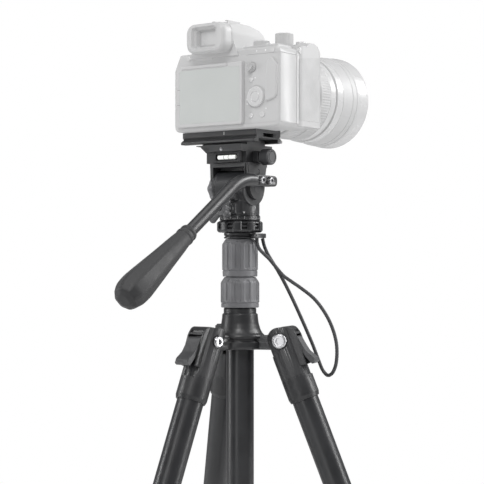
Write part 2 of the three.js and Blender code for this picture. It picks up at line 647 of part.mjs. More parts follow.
// The screen is held along its left edge, where its hinge stands in a notch.
function screenPanel() {
  const { x0, x1, y0, y1, z0, z1 } = SCREEN;
  const panel = prismY(roundedOutline(x0 + 2, x1, z0, z1, 2.5), y0 + 0.4, y1, 2);
  const lip = block(x0 + 8, x1 - 18, y0 - 0.6, y1 - 1, z1 - 3, z1);
  const hinge = rod(2.4, z0 + 18, z0 + 42, 12).translate(x0 + 2.4, (y0 + y1) / 2, 0);
  return join(panel, lip, hinge);
}

function eyecup() {
  const rim = prismY(roundedOutline(LENS_X - 23.5, LENS_X + 25, 283, 312.5, 11), -46, -30.4, 3);
  const opening = prismY(roundedOutline(LENS_X - 11, LENS_X + 11, 290, 306.5, 3), -48, -36, 2);
  return cut(rim, opening);
}

// A dial or button that stands on the top cover, with its edges broken.
function topDial({ r, height, x, y }, z = BODY.z1 + GAP) {
  const top = z + height;
  const dial = turned([[0, z], [r - 0.6, z], [r, z + 0.6], [r, top - 1.2], [r - 1.2, top], [0, top]]);
  return dial.translate(x, y, 0);
}

function joystick() {
  const profile = [[0, 0], [4.4, 0], [4.4, 1.4], [2.2, 2], [2.2, 3.4], [3.6, 4.2], [3.2, 5.2], [0, 5.2]];
  return turned(profile, 14).rotateX(Math.PI / 2).translate(JOYSTICK.x, BODY.y0 - GAP, JOYSTICK.z);
}

function controlWheel() {
  const { r, x, z } = CONTROL_WHEEL;
  return rodAlongY(r, BODY.y0 - GAP - 2.6, BODY.y0 - GAP, x, z, 24);
}

place("camera_body", cameraBody(), PALE_PLASTIC);
place("screen_panel", screenPanel(), SCREEN_GLASS);
place("eyecup", eyecup(), PALE_DARKER);
place("mode_dial", topDial(MODE_DIAL), PALE_PLASTIC);
place("rear_dial", topDial(REAR_DIAL), PALE_PLASTIC);
place("shutter_button", topDial(SHUTTER, SHUTTER.z), PALE_PLASTIC);
place("joystick", joystick(), PALE_DARKER);
place("control_wheel", controlWheel(), PALE_DARKER);

// ---------------------------------------------------------------------- lens

function lensPiece(profile, segments = 28) {
  return turnedAlongY(profile, segments).translate(LENS_X, 0, LENS_Z);
}

place("lens_barrel", lensPiece([
  [21, MOUNT_FACE], [30, MOUNT_FACE], [33, MOUNT_FACE + 4], [40, 44], [42.4, 50], [42.4, 66], [39.4, 66.4],
  [39.4, 124], [43.6, 124.4], [43.6, LENS_FRONT - 1], [42.8, LENS_FRONT], [37, LENS_FRONT],
  [37, 118], [30, 112],
  [21, MOUNT_FACE],
]), PALE_PLASTIC);
place("zoom_ring", lensPiece([
  [39.8, 66.8], [43.2, 66.8], [44, 68], [44, 93], [43.2, 94.2], [39.8, 94.2], [39.8, 66.8],
]), PALE_DARKER);
place("focus_ring", lensPiece([
  [39.8, 95], [43.4, 95], [44.2, 96.2], [44.2, 122.6], [43.4, 123.8], [39.8, 123.8], [39.8, 95],
]), PALE_DARKER);
place("front_lens", lensPiece([
  [0, 119], [36.6, 119], [36.6, 123], [33, 125.2], [24, 128], [12, 129.6], [0, 130],
]), LENS_GLASS);
place("lens_hood", lensPiece([
  [44.0, 126], [45.6, 126], [46.2, 140], [49, HOOD_END - 4], [49, HOOD_END], [47.4, HOOD_END], [44.4, 142],
  [40, 138], [40, LENS_FRONT + GAP], [44.0, LENS_FRONT + GAP], [44.0, 126],
]), PALE_DARKER);

// --------------------------------------------------------------- wrist strap

// The route's points are [out from the column, sideways, height]. It leaves the link
// on the column's top plate, hangs in one long loop and comes back under the head.
const STRAP_ROUTE = [
  [15.6, -13.1, 101.7], [15.9, -13.3, 96.6], [18.0, -12.6, 91.2], [22.4, -10.4, 86.6], [28.2, -8.0, 81.4],
  [35.4, -6.0, 73.0], [43.2, -5.6, 64.2], [51.2, -5.8, 58.4], [60.5, -6.2, 52.0], [74.0, -7.0, 41.0],
  [84.6, -7.8, 27.0], [91.8, -8.2, 12.4], [95.8, -8.4, -2.2], [96.6, -8.0, -14.4], [95.4, -6.4, -26.0],
  [92.4, -2.6, -33.8], [88.8, 2.6, -36.0], [84.6, 6.6, -31.4], [80.2, 8.0, -20.8], [75.2, 7.8, -7.6],
  [68.4, 7.2, 8.4], [60.8, 6.0, 25.2], [52.4, 3.8, 42.8], [44.8, 1.2, 57.4], [37.8, -0.8, 69.6],
  [31.6, -1.6, 79.4], [27.0, -0.6, 87.6], [24.2, 0.2, 94.8], [22.6, 0.4, 101.7],
];
const LINK = { r: 26, from: 102, to: 106.2, arc: [-56, 14], holes: [[20.35, -40], [22.6, 1]] };

const strapTurn = radians(STRAP_AZIMUTH);

function strap() {
  const points = STRAP_ROUTE.map(([out, side, z]) => new THREE.Vector3(out, side, z));
  const curve = new THREE.CatmullRomCurve3(points, false, "centripetal");
  const section = new THREE.Shape();
  section.absarc(0, 0, STRAP_DIAMETER / 2, 0, 2 * Math.PI);
  const cord = new THREE.ExtrudeGeometry(section, { steps: 44, curveSegments: 4, extrudePath: curve });
  return cord.rotateZ(strapTurn);
}

// The tab that the strap is tied to, standing out of the top plate's edge.
function strapLink() {
  const [start, end] = LINK.arc.map(radians);
  const shape = new THREE.Shape();
  shape.absarc(0, 0, LINK.r, start, end, false);
  shape.absarc(0, 0, TOP_PLATE.r + GAP, end, start, true);
  const tab = prismZ(shape, LINK.from, LINK.to, 10);
  const holes = LINK.holes.map(([r, angle]) => {
    const hole = rod(STRAP_DIAMETER / 2 + 0.4, LINK.from - 1, LINK.to + 1, 12);
    return hole.translate(r, 0, 0).rotateZ(radians(angle));
  });
  return cut(tab, ...holes).rotateZ(strapTurn);
}

place("wrist_strap", strap(), STRAP_CORD);
place("strap_link", strapLink(), STEEL);

// -------------------------------------------------------------------- origin

const bounds = new THREE.Box3().setFromObject(model, true);
const middle = bounds.getCenter(new THREE.Vector3());
model.position.set(-middle.x, -middle.y, -bounds.min.z);
model.updateMatrixWorld(true);

export default model;
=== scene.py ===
import json
import math

import bmesh
import bpy
from mathutils import Matrix, Vector

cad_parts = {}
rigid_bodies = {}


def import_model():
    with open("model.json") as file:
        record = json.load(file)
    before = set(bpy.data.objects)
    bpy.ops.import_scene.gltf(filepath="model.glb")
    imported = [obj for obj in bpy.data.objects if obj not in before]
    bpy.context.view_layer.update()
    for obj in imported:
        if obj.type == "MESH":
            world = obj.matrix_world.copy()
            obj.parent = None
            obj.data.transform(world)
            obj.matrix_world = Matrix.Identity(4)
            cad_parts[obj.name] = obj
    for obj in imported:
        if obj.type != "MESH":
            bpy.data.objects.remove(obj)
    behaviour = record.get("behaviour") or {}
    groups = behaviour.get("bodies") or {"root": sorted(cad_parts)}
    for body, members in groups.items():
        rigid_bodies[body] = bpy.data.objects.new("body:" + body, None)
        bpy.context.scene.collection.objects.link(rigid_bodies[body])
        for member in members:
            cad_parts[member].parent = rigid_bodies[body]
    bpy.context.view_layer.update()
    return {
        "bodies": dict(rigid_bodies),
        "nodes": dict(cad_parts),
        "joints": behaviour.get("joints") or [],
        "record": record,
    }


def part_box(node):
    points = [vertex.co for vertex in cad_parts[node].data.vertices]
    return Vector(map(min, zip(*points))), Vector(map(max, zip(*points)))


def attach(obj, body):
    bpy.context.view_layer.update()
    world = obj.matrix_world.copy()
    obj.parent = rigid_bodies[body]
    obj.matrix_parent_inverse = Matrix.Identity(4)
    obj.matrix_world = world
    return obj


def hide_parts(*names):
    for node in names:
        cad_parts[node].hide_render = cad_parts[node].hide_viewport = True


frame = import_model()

# ---------------------------------------------------------------------- datum

# Pieces are drawn in millimetres about the column's axis, with height 0 at the leg pivots.
# +X is the operator's right and +Y is the way the lens looks. TO_ROW carries them to the frame.

tube_low, tube_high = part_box("column_outer_tube")
bolt_low, bolt_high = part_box("leg_1_pivot_bolt")
ORIGIN = Vector((
    (tube_low.x + tube_high.x) / 2,
    (tube_low.y + tube_high.y) / 2,
    (bolt_low.z + bolt_high.z) / 2,
))
TO_ROW = Matrix.Translation(ORIGIN) @ Matrix.Scale(0.001, 4)


def row(x, y, z):
    return TO_ROW @ Vector((x, y, z))


def span(node, axis):
    """The lowest and highest value of a CAD node along an axis, in the drawing's millimetres."""
    low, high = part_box(node)
    i = "XYZ".index(axis)
    return (low[i] - ORIGIN[i]) * 1000, (high[i] - ORIGIN[i]) * 1000


LEG_AZIMUTHS = (21, 141, 261)
LEG_SPREAD = math.radians(21.3)
PIVOT_RADIUS = 44.5
LENS_X = sum(span("lens_hood", "X")) / 2
LENS_Z = sum(span("lens_hood", "Z")) / 2
LENS_AT = (LENS_X, 0, LENS_Z)
TRIPOD_SCREW = (LENS_X, 0, 0)
TILT_Y = sum(span("tilt_shaft", "Y")) / 2
TILT_Z = sum(span("tilt_shaft", "Z")) / 2
TILT_AT = (0, TILT_Y, TILT_Z)
PAN_SCREW = (2, 0, 131)
CLAMP_SHAFT_Z = 181.5
VIAL_AT = (0, -20.4, CLAMP_SHAFT_Z)
ARM_Z = 157.9
ARM_SCREW_Y = (0, -13.8)
FLOOR = -ORIGIN.z * 1000


# --------------------------------------------------------------------- camera

VIEW_AZIMUTH = math.radians(37)
VIEW_DISTANCE = 1.55
EYE_HEIGHT = 0.07  # above the leg pivots
LENS_FOCAL = 115.3
FRAME_SHIFT = (0.0041, 0.0578)


def make_camera():
    data = bpy.data.cameras.new("camera")
    data.lens = LENS_FOCAL
    data.sensor_width = 36
    data.shift_x, data.shift_y = FRAME_SHIFT
    camera = bpy.data.objects.new("camera", data)
    away = Vector((math.sin(VIEW_AZIMUTH), -math.cos(VIEW_AZIMUTH), 0))
    camera.location = ORIGIN + away * VIEW_DISTANCE + Vector((0, 0, EYE_HEIGHT))
    camera.rotation_euler = (math.pi / 2, 0, VIEW_AZIMUTH)
    bpy.context.scene.collection.objects.link(camera)
    bpy.context.scene.camera = camera


make_camera()


# ------------------------------------------------------------------ materials

def shader(name):
    material = bpy.data.materials.new(name)
    material.use_nodes = True
    nodes = material.node_tree.nodes
    return material, nodes, material.node_tree.links, nodes["Principled BSDF"]


def set_inputs(node, **values):
    """Sets a node's inputs by name, with _ for a space."""
    for name, value in values.items():
        node.inputs[name.replace("_", " ")].default_value = value
    return node


def noise(nodes, links, coords, scale, detail):
    texture = set_inputs(nodes.new("ShaderNodeTexNoise"), Scale=scale, Detail=detail)
    links.new(coords.outputs["Object"], texture.inputs["Vector"])
    return texture.outputs["Fac"]


def remap(nodes, links, value, low, high, start=0.3, end=0.7):
    node = set_inputs(nodes.new("ShaderNodeMapRange"),
                      From_Min=start, From_Max=end, To_Min=low, To_Max=high)
    links.new(value, node.inputs["Value"])
    return node.outputs["Result"]


def mix(nodes, links, factor, a, b):
    node = nodes.new("ShaderNodeMix")
    node.data_type = "RGBA"
    links.new(factor, node.inputs["Factor"])
    for socket, value in ((node.inputs["A"], a), (node.inputs["B"], b)):
        if isinstance(value, tuple):
            socket.default_value = (*value, 1)
        else:
            links.new(value, socket)
    return node.outputs["Result"]


RELIEF_DEPTH = 0.0002


def two_toned(nodes, links, broad, colour, darker, lighter):
    """The colour, drifting between a darker and a lighter shade of it."""
    dark = tuple(c * darker for c in colour)
    light = tuple(min(1.0, c * lighter) for c in colour)
    return mix(nodes, links, remap(nodes, links, broad, 0, 1), dark, light)


def emboss(nodes, links, bsdf, height, strength, invert=False):
    relief = set_inputs(nodes.new("ShaderNodeBump"), Strength=strength, Distance=RELIEF_DEPTH)
    relief.invert = invert
    links.new(height, relief.inputs["Height"])
    links.new(relief.outputs["Normal"], bsdf.inputs["Normal"])


def blend(nodes, links, factor, first, second, output):
    """Shows the first shader where the factor is 0 and the second where it is 1."""
    node = nodes.new("ShaderNodeMixShader")
    for socket, source in zip(node.inputs, (factor, first, second)):
        links.new(source, socket)
    links.new(node.outputs["Shader"], nodes[output].inputs["Surface"])


def grained(name, colour, roughness, grain=1600, bump=0.2, vary=0.14, wear=0.0, metallic=0.0,
            coat=0.0, glow=0.0):
    """A surface with fine grain, uneven tone and gloss, and edges rubbed lighter."""
    material, nodes, links, bsdf = shader(name)
    coords = nodes.new("ShaderNodeTexCoord")
    fine = noise(nodes, links, coords, grain, 2.0)
    broad = noise(nodes, links, coords, 45, 4.0)
    tone = two_toned(nodes, links, broad, colour, 1 - vary, 1 + vary)
    if wear:
        geometry = nodes.new("ShaderNodeNewGeometry")
        edge = remap(nodes, links, geometry.outputs["Pointiness"], 0, wear, 0.53, 0.62)
        rubbed = tuple(min(1.0, c * 1.5 + 0.1) for c in colour)
        tone = mix(nodes, links, edge, tone, rubbed)
    links.new(tone, bsdf.inputs["Base Color"])
    links.new(remap(nodes, links, broad, roughness - 0.05, roughness + 0.05), bsdf.inputs["Roughness"])
    emboss(nodes, links, bsdf, fine, bump)
    set_inputs(bsdf, Metallic=metallic, Coat_Weight=coat, Coat_Roughness=0.15)
    give_painted_glow(bsdf, colour, glow)
    return material


def give_painted_glow(bsdf, colour, strength):
    """Painted light: the pale camera's surfaces glow with their own colour as emission, which lifts and
    flattens their shading into a pale ghost.
    """
    if strength:
        set_inputs(bsdf, Emission_Color=(*colour, 1), Emission_Strength=strength)


def pebbled(name, colour, roughness, cell=900, bump=0.35, glow=0.0):
    """Moulded rubber with a pebble grain."""
    material, nodes, links, bsdf = shader(name)
    coords = nodes.new("ShaderNodeTexCoord")
    cells = nodes.new("ShaderNodeTexVoronoi")
    cells.feature = "SMOOTH_F1"
    set_inputs(cells, Scale=cell)
    links.new(coords.outputs["Object"], cells.inputs["Vector"])
    broad = noise(nodes, links, coords, 60, 4.0)
    links.new(two_toned(nodes, links, broad, colour, 0.86, 1.14), bsdf.inputs["Base Color"])
    links.new(remap(nodes, links, broad, roughness - 0.06, roughness + 0.04), bsdf.inputs["Roughness"])
    emboss(nodes, links, bsdf, cells.outputs["Distance"], bump, invert=True)
    set_inputs(bsdf, Sheen_Weight=0.1, Sheen_Roughness=0.4)
    give_painted_glow(bsdf, colour, glow)
    return material


def glassy(name, colour, transmission, roughness, coat, glow=0.0):
    material, nodes, links, bsdf = shader(name)
    coords = nodes.new("ShaderNodeTexCoord")
    broad = noise(nodes, links, coords, 30, 2.0)
    links.new(two_toned(nodes, links, broad, colour, 0.94, 1), bsdf.inputs["Base Color"])
    set_inputs(bsdf, Roughness=roughness, Transmission_Weight=transmission, IOR=1.5, Coat_Weight=coat)
    give_painted_glow(bsdf, colour, glow)
    return material


BLACK = grained("satin_black", (0.017, 0.0174, 0.019), 0.36, 2200, 0.1, wear=0.15, coat=0.05)
BLACK_TUBE = grained("anodised_black", (0.016, 0.0164, 0.018), 0.34, 900, 0.0, coat=0.0)
BLACK_CAST = grained("cast_black", (0.014, 0.0143, 0.0155), 0.38, 1300, 0.06, wear=0.15)
DEEP_BLACK = grained("deep_black", (0.008, 0.008, 0.009), 0.6, 1500, 0.2)
KNOB_BLACK = grained("knob_black", (0.036, 0.0365, 0.039), 0.42, 1700, 0.25, wear=0.25)
PLATE_GREY = grained("plate_grey", (0.02, 0.0203, 0.0215), 0.4, 1900, 0.15, wear=0.2)
CLAMP_GREY = grained("clamp_grey", (0.02, 0.0203, 0.0215), 0.4, 1900, 0.15, wear=0.2)
GREY_RUBBER = pebbled("grey_rubber", (0.13, 0.1305, 0.137), 0.5)
TAB_RUBBER = pebbled("tab_rubber", (0.044, 0.0444, 0.047), 0.5)
GRIP_RUBBER = pebbled("grip_rubber", (0.013, 0.0132, 0.0142), 0.62, 700, 0.2)
FOOT_RUBBER = pebbled("foot_rubber", (0.03, 0.03, 0.032), 0.62, 500, 0.4)
STEEL = grained("bright_steel", (0.42, 0.42, 0.43), 0.3, 1200, 0.12, metallic=1.0, vary=0.08)
MARKS = grained("mark_paint", (0.62, 0.62, 0.62), 0.5, 1800, 0.1)
SCALE_MARKS = grained("scale_paint", (0.3, 0.3, 0.3), 0.5, 1800, 0.1)
# The pale camera materials glow with painted light (emission in their own colour) that flattens their
# shading.
PALE = grained("pale_body", (0.255, 0.255, 0.256), 0.5, 1500, 0.16, vary=0.012, glow=0.75)
PALE_GRIP = pebbled("pale_grip", (0.235, 0.235, 0.236), 0.58, 650, 0.35, glow=0.75)
# A darker copy of the pale body material: painted shade on the eyepiece frame, joystick, tripod socket ring
# and lens inside.
PALE_SHADE = grained("pale_shadow", (0.21, 0.21, 0.211), 0.55, 1500, 0.14, vary=0.03, glow=0.75)
PALE_GLOSS = grained("pale_gloss", (0.29, 0.29, 0.291), 0.26, 1500, 0.05, vary=0.012, coat=0.3, glow=0.75)
PALE_LIGHT = grained("pale_mark", (0.42, 0.42, 0.42), 0.45, 1500, 0.05, vary=0.02, glow=0.6)
SCREEN = glassy("screen_glass", (0.272, 0.281, 0.276), 0.0, 0.2, 0.3, glow=0.75)
LENS_GLASS = glassy("lens_glass", (0.62, 0.68, 0.72), 0.75, 0.03, 1.0)
VIAL = glassy("vial_acrylic", (0.95, 0.97, 0.93), 0.0, 0.12, 1.0)
LIQUID_MARK = grained("vial_rings", (0.05, 0.05, 0.05), 0.5)
CORD = grained("strap_weave", (0.034, 0.0345, 0.037), 0.62, 2600, 0.5, vary=0.3)


# -------------------------------------------------------------- solid helpers

def solid(verts, faces):
    mesh = bpy.data.meshes.new("solid")
    mesh.from_pydata([tuple(v) for v in verts], [], faces)
    work = bmesh.new()
    work.from_mesh(mesh)
    bmesh.ops.remove_doubles(work, verts=work.verts, dist=1e-4)
    bmesh.ops.recalc_face_normals(work, faces=work.faces)
    work.to_mesh(mesh)
    work.free()
    obj = bpy.data.objects.new("solid", mesh)
    bpy.context.scene.collection.objects.link(obj)
    return obj


def soften(points, radius, steps=4, closed=False):
    """Rounds an outline's corners. The ends of an open outline stay."""
    out = []
    count = len(points)
    for i, point in enumerate(points):
        if not closed and i in (0, count - 1):
            out.append(tuple(point))
            continue
        before, here, after = (Vector(points[i - 1]), Vector(point), Vector(points[(i + 1) % count]))
        wanted = radius[i] if isinstance(radius, (list, tuple)) else radius
        reach = min(wanted, (before - here).length * 0.48, (after - here).length * 0.48)
        start = here + (before - here).normalized() * reach
        end = here + (after - here).normalized() * reach
        for k in range(steps + 1):
            t = k / steps
            at = start * (1 - t) ** 2 + here * 2 * t * (1 - t) + end * t * t
            out.append((at.x, at.y))
    return out


def aim(axis):
    """Turns a drawing whose own height is Z so that its height runs along another axis."""
    if axis == "X":
        return Matrix(((0, 0, 1, 0), (1, 0, 0, 0), (0, 1, 0, 0), (0, 0, 0, 1)))
    if axis == "Y":
        return Matrix(((1, 0, 0, 0), (0, 0, 1, 0), (0, 1, 0, 0), (0, 0, 0, 1)))
    return Matrix.Identity(4)


def move(obj, matrix):
    obj.data.transform(matrix)
    if matrix.to_3x3().determinant() < 0:
        obj.data.flip_normals()
    return obj


def shift(obj, x=0, y=0, z=0):
    return move(obj, Matrix.Translation((x, y, z)))


def turn(obj, angle, axis="Z"):
    return move(obj, Matrix.Rotation(angle, 4, axis))


def divided(outline, step, length):
    """The outline with rows about a step apart, as length(across, along) measures it."""
    rows = []
    for a, b in zip(outline, outline[1:]):
        rows += [a, *ramp(a, b, max(1, int(length(b[0] - a[0], b[1] - a[1]) / step)))]
    return [*rows, outline[-1]]


def arc(r, degrees, centre=(0, 0)):
    """Points on a circle, one for each angle."""
    return [(centre[0] + r * math.cos(math.radians(a)), centre[1] + r * math.sin(math.radians(a)))
            for a in degrees]


def spin(profile, count=96, shape=None):
    """A closed turned body about Z. shape(r, z, angle) may change the radius around it."""
    ring = tuple(profile[0]) == tuple(profile[-1])
    rows = profile[:-1] if ring else profile
    verts = []
    for r, z in rows:
        for i in range(count):
            angle = 2 * math.pi * i / count
            radius = shape(r, z, angle) if shape and r > 0 else r
            verts.append((radius * math.cos(angle), radius * math.sin(angle), z))
    faces = []
    for k in range(len(rows) if ring else len(rows) - 1):
        low, high = k * count, (k + 1) % len(rows) * count
        for i in range(count):
            j = (i + 1) % count
            faces.append((low + i, low + j, high + j, high + i))
    return solid(verts, faces)


def turned(profile, axis="Z", at=(0, 0, 0), count=96, shape=None):
    return shift(move(spin(profile, count, shape), aim(axis)), *at)


def rod(r, low, high, axis="Z", at=(0, 0, 0), edge=0.0, count=48):
    profile = [(0, low), (r, low), (r, high), (0, high)]
    if edge:
        profile = soften(profile, edge, 3)
    return turned(profile, axis, at, count)


def prism(outline, low, high, axis="Z"):
    count = len(outline)
    verts = [(u, v, w) for w in (low, high) for u, v in outline]
    faces = [tuple(range(count)), tuple(range(count, 2 * count))]
    faces += [(i, (i + 1) % count, count + (i + 1) % count, count + i) for i in range(count)]
    return move(solid(verts, faces), aim(axis))


def loft(sections):
    """A closed body through outlines of equal point count, each a list of 3D points."""
    count = len(sections[0])
    verts = [point for section in sections for point in section]
    last = (len(sections) - 1) * count
    faces = [tuple(range(count)), tuple(range(last, last + count))]
    for k in range(len(sections) - 1):
        for i in range(count):
            j = (i + 1) % count
            faces.append((k * count + i, k * count + j, (k + 1) * count + j, (k + 1) * count + i))
    return solid(verts, faces)


def rectangle(x0, x1, y0, y1, r, steps=5):
    return soften([(x0, y0), (x1, y0), (x1, y1), (x0, y1)], r, steps, closed=True)


def settle(obj):
    """Makes an object's modifiers part of its mesh."""
    graph = bpy.context.evaluated_depsgraph_get()
    mesh = bpy.data.meshes.new_from_object(obj.evaluated_get(graph), depsgraph=graph)
    old = obj.data
    obj.modifiers.clear()
    obj.data = mesh
    bpy.data.meshes.remove(old)
    return obj


def bevel(obj, width, steps=3, angle=35):
    modifier = obj.modifiers.new("bevel", "BEVEL")
    modifier.width = width
    modifier.segments = steps
    modifier.limit_method = "ANGLE"
    modifier.angle_limit = math.radians(angle)
    return settle(obj)


def block(x0, x1, y0, y1, z0, z1, r=0.0, steps=4):
    box = prism([(x0, y0), (x1, y0), (x1, y1), (x0, y1)], z0, z1)
    return bevel(box, r, steps) if r else box


def combine(base, operation, *others):
    for other in others:
        modifier = base.modifiers.new(operation, "BOOLEAN")
        modifier.operation = operation
        modifier.solver = "MANIFOLD"
        modifier.object = other
    settle(base)
    for other in others:
        bpy.data.objects.remove(other)
    return base


def join(base, *others):
    return combine(base, "UNION", *others)


def cut(base, *others):
    return combine(base, "DIFFERENCE", *others)


def common(base, *others):
    return combine(base, "INTERSECT", *others)


def piece(obj, name, body, material, stands_for=(), edge=0.3, steps=2, sharp=40):
    """Breaks a drawn body's edges, carries it to the frame and hands it to its CAD body."""
    if edge:
        bevel(obj, edge, steps, 30)
    obj.data.shade_smooth()
    obj.data.set_sharp_from_angle(angle=math.radians(sharp))
    weighted = obj.modifiers.new("normals", "WEIGHTED_NORMAL")
    weighted.keep_sharp = True
    settle(obj)
    obj.data.transform(TO_ROW)
    obj.name = name
    obj.data.name = name
    obj.data.materials.clear()
    obj.data.materials.append(material)
    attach(obj, body)
    if stands_for:
        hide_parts(*([stands_for] if isinstance(stands_for, str) else stands_for))
    return obj


# ---------------------------------------------------------------- wrist strap

# Points are [out from the column, sideways, height] in millimetres, turned to the strap's side.
STRAP_AZIMUTH = math.radians(42)
STRAP_RADIUS = 1.8
STRAP_ROUTE = [
    (15.6, -13.1, 101.7), (15.9, -13.3, 96.6), (18.0, -12.6, 91.2), (22.4, -10.4, 86.6),
    (28.2, -8.0, 81.4), (35.4, -6.0, 73.0), (43.2, -5.6, 64.2), (51.2, -5.8, 58.4),
    (60.5, -6.2, 52.0), (74.0, -7.0, 41.0), (84.6, -7.8, 27.0), (91.8, -8.2, 12.4),
    (95.8, -8.4, -2.2), (96.6, -8.0, -14.4), (95.4, -6.4, -26.0), (92.4, -2.6, -33.8),
    (88.8, 2.6, -36.0), (84.6, 6.6, -31.4), (80.2, 8.0, -20.8), (75.2, 7.8, -7.6),
    (68.4, 7.2, 8.4), (60.8, 6.0, 25.2), (52.4, 3.8, 42.8), (44.8, 1.2, 57.4),
    (37.8, -0.8, 69.6), (31.6, -1.6, 79.4), (27.0, -0.6, 87.6), (24.2, 0.2, 94.8),
    (22.6, 0.4, 101.7),
]


def smooth_route(points, step):
    """Evenly spaced points on a centripetal Catmull-Rom curve through the route."""
    points = [Vector(p) for p in points]
    padded = [points[0] * 2 - points[1], *points, points[-1] * 2 - points[-2]]
    dense = []
    for i in range(1, len(padded) - 2):
        p0, p1, p2, p3 = padded[i - 1:i + 3]
        t1 = math.sqrt((p1 - p0).length)
        t2 = t1 + math.sqrt((p2 - p1).length)
        t3 = t2 + math.sqrt((p3 - p2).length)
        for k in range(24):
            t = t1 + (t2 - t1) * k / 24
            a1 = p0 * ((t1 - t) / t1) + p1 * (t / t1)
            a2 = p1 * ((t2 - t) / (t2 - t1)) + p2 * ((t - t1) / (t2 - t1))
            a3 = p2 * ((t3 - t) / (t3 - t2)) + p3 * ((t - t2) / (t3 - t2))
            b1 = a1 * ((t2 - t) / t2) + a2 * (t / t2)
            b2 = a2 * ((t3 - t) / (t3 - t1)) + a3 * ((t - t1) / (t3 - t1))
            dense.append(b1 * ((t2 - t) / (t2 - t1)) + b2 * ((t - t1) / (t2 - t1)))
    dense.append(points[-1])
    even = [dense[0]]
    for point in dense[1:]:
        while (point - even[-1]).length >= step:
            even.append(even[-1] + (point - even[-1]).normalized() * step)
    even.append(dense[-1])
    return even


def swept(path, section):
    """A tube along a path. section(k, angle) is its radius at the path's point k."""
    count = 24
    last = len(path) - 1
    tangents = [(path[min(k + 1, last)] - path[max(k - 1, 0)]).normalized() for k in range(last + 1)]
    side = tangents[0].orthogonal().normalized()
    rings = []
    for k, (point, tangent) in enumerate(zip(path, tangents)):
        side = (side - tangent * side.dot(tangent)).normalized()
        up = tangent.cross(side)
        ring = []
        for i in range(count):
            angle = 2 * math.pi * i / count
            reach = section(k, angle)
            ring.append(point + side * (reach * math.cos(angle)) + up * (reach * math.sin(angle)))
        rings.append(ring)
    return loft(rings)


def make_strap():
    spin_to_side = Matrix.Rotation(STRAP_AZIMUTH, 4, "Z")
    path = [spin_to_side @ point for point in smooth_route(STRAP_ROUTE, 0.5)]

    def braid(k, angle):
        over = math.sin(6 * angle + k * 0.55) * math.sin(6 * angle - k * 0.55)
        return STRAP_RADIUS * (1 + 0.055 * over) - 0.05

    strap = piece(swept(path, braid), "strap_braid", "inner_column", CORD, "wrist_strap", 0)


make_strap()


# ----------------------------------------------------------------------- legs

def leg_matrix(azimuth):
    turned_out = Matrix.Rotation(math.radians(azimuth), 4, "Z")
    out = Matrix.Translation((PIVOT_RADIUS, 0, 0))
    return turned_out @ out @ Matrix.Rotation(-LEG_SPREAD, 4, "Y")


def leg_casting():
    """The leg's top: a smooth arch over the bolt that runs down into a round socket."""
    side = [(15.7, -44), (15.7, 0), (13.5, 9.5), *arc(13.5, range(60, 181, 8)), (-15.2, -20), (-15.7, -44)]
    arch = common(rod(15.7, -43, 14, count=120), prism(side, -20, 20, "Y"))
    bridge = prism(soften([(2, -30), (16.4, -30), (17.4, 2), (14.6, 10.6), (6.4, 12.6), (2, 12.6)],
                          [0, 1, 3, 4, 2, 0], 5, closed=True), -11.6, 11.6, "Y")
    socket = turned(soften([(0, -30), (14.2, -30), (15.75, -37.6), (15.3, -38), (15.3, -38.6), (15.75, -39),
                            (15.75, -58.2), (14.6, -62), (0, -62)], 0.4), count=120)
    whole = join(arch, bevel(bridge, 1.6, 3), socket)
    fork = prism(soften([(-30, 30), (-30, -12), (-4, -12), (4, -12), (10.4, -6), (10.4, 30)], 3, closed=True),
                 -9.0, 9.0, "Y")
    bore = rod(13.5, -63, -25.7, count=96)
    bolt_hole = rod(4.2, -20, 20, "Y")
    tab_slot = block(12.2, 20, -9.6, 9.6, -40, 1.2, 0.6)
    window = block(14.9, 20, -8.6, 8.6, 3.4, 6.4, 0.5)
    sunk = [rod(6.3, 13.6, 17, "Y", count=64), rod(8.0, -17, -13.0, "Y", count=64)]
    return cut(whole, fork, bore, bolt_hole, tab_slot, window, *sunk)


def angle_tab():
    side = soften([
        (12.6, -0.4), (15.4, -0.4), (17.5, -2.2), (18.2, -8), (20.2, -18), (25.2, -26.6), (25.2, -31.2),
        (21.6, -32.4), (17.4, -22), (16.2, -15), (12.6, -8),
    ], 1.4, closed=True)
    tab = prism(side, -9.2, 9.2, "Y")
    taper = prism(rectangle(-9.2, 9.2, -40, 12, 2.0), 8, 30, "X")
    grooves = [rod(0.55, -12, 12, "Y", (25.35, 0, -27.6 - 1.4 * k), count=16) for k in range(3)]
    return cut(common(tab, taper), *grooves)


def pivot_bolt():
    """A bolt with a small head on one side and a wide nut on the other."""
    head = soften([(0, 18.0), (4.6, 18.0), (5.9, 16.6), (5.9, 13.8), (4, 13.8)], 0.5)
    nut = soften([(4, -13.2), (7.6, -13.2), (7.6, -17.2), (6.4, -18.6), (0, -18.6)], 0.5)
    bolt = turned([*head, *nut], "Y", count=72)
    dish = turned([(0, -17.8), (5.2, -17.8), (5.9, -19.4), (0, -19.4)], "Y", count=64)
    sockets = [rod(3.1, 15.6, 20, "Y", count=6), rod(3.4, -20, -16.4, "Y", count=6)]
    return cut(bolt, dish, *sockets)


def tube(r, wall, low, high, count=96):
    lip = 0.35
    return spin([
        (r - wall, low + lip), (r - wall + lip, low), (r - lip, low), (r, low + lip), (r, high - lip),
        (r - lip, high), (r - wall + lip, high), (r - wall, high - lip), (r - wall, low + lip),
    ], count)


def fluted(radius, low, high, flutes, width, depth):
    """A radius rule with scooped flutes that end round below low and above high."""
    def shape(r, z, angle):
        if r < radius - 3.4:
            return r
        turns = angle * flutes / (2 * math.pi)
        across = (turns - round(turns)) * 2 * math.pi * radius / flutes
        past = max(0.0, z - (high - width), (low + width) - z)
        reach = math.hypot(across, past) / width
        return r - depth * max(0.0, 1 - reach ** 4) ** 0.5
    return shape


def ramp(a, b, steps):
    return [(a[0] + (b[0] - a[0]) * k / steps, a[1] + (b[1] - a[1]) * k / steps) for k in range(1, steps)]


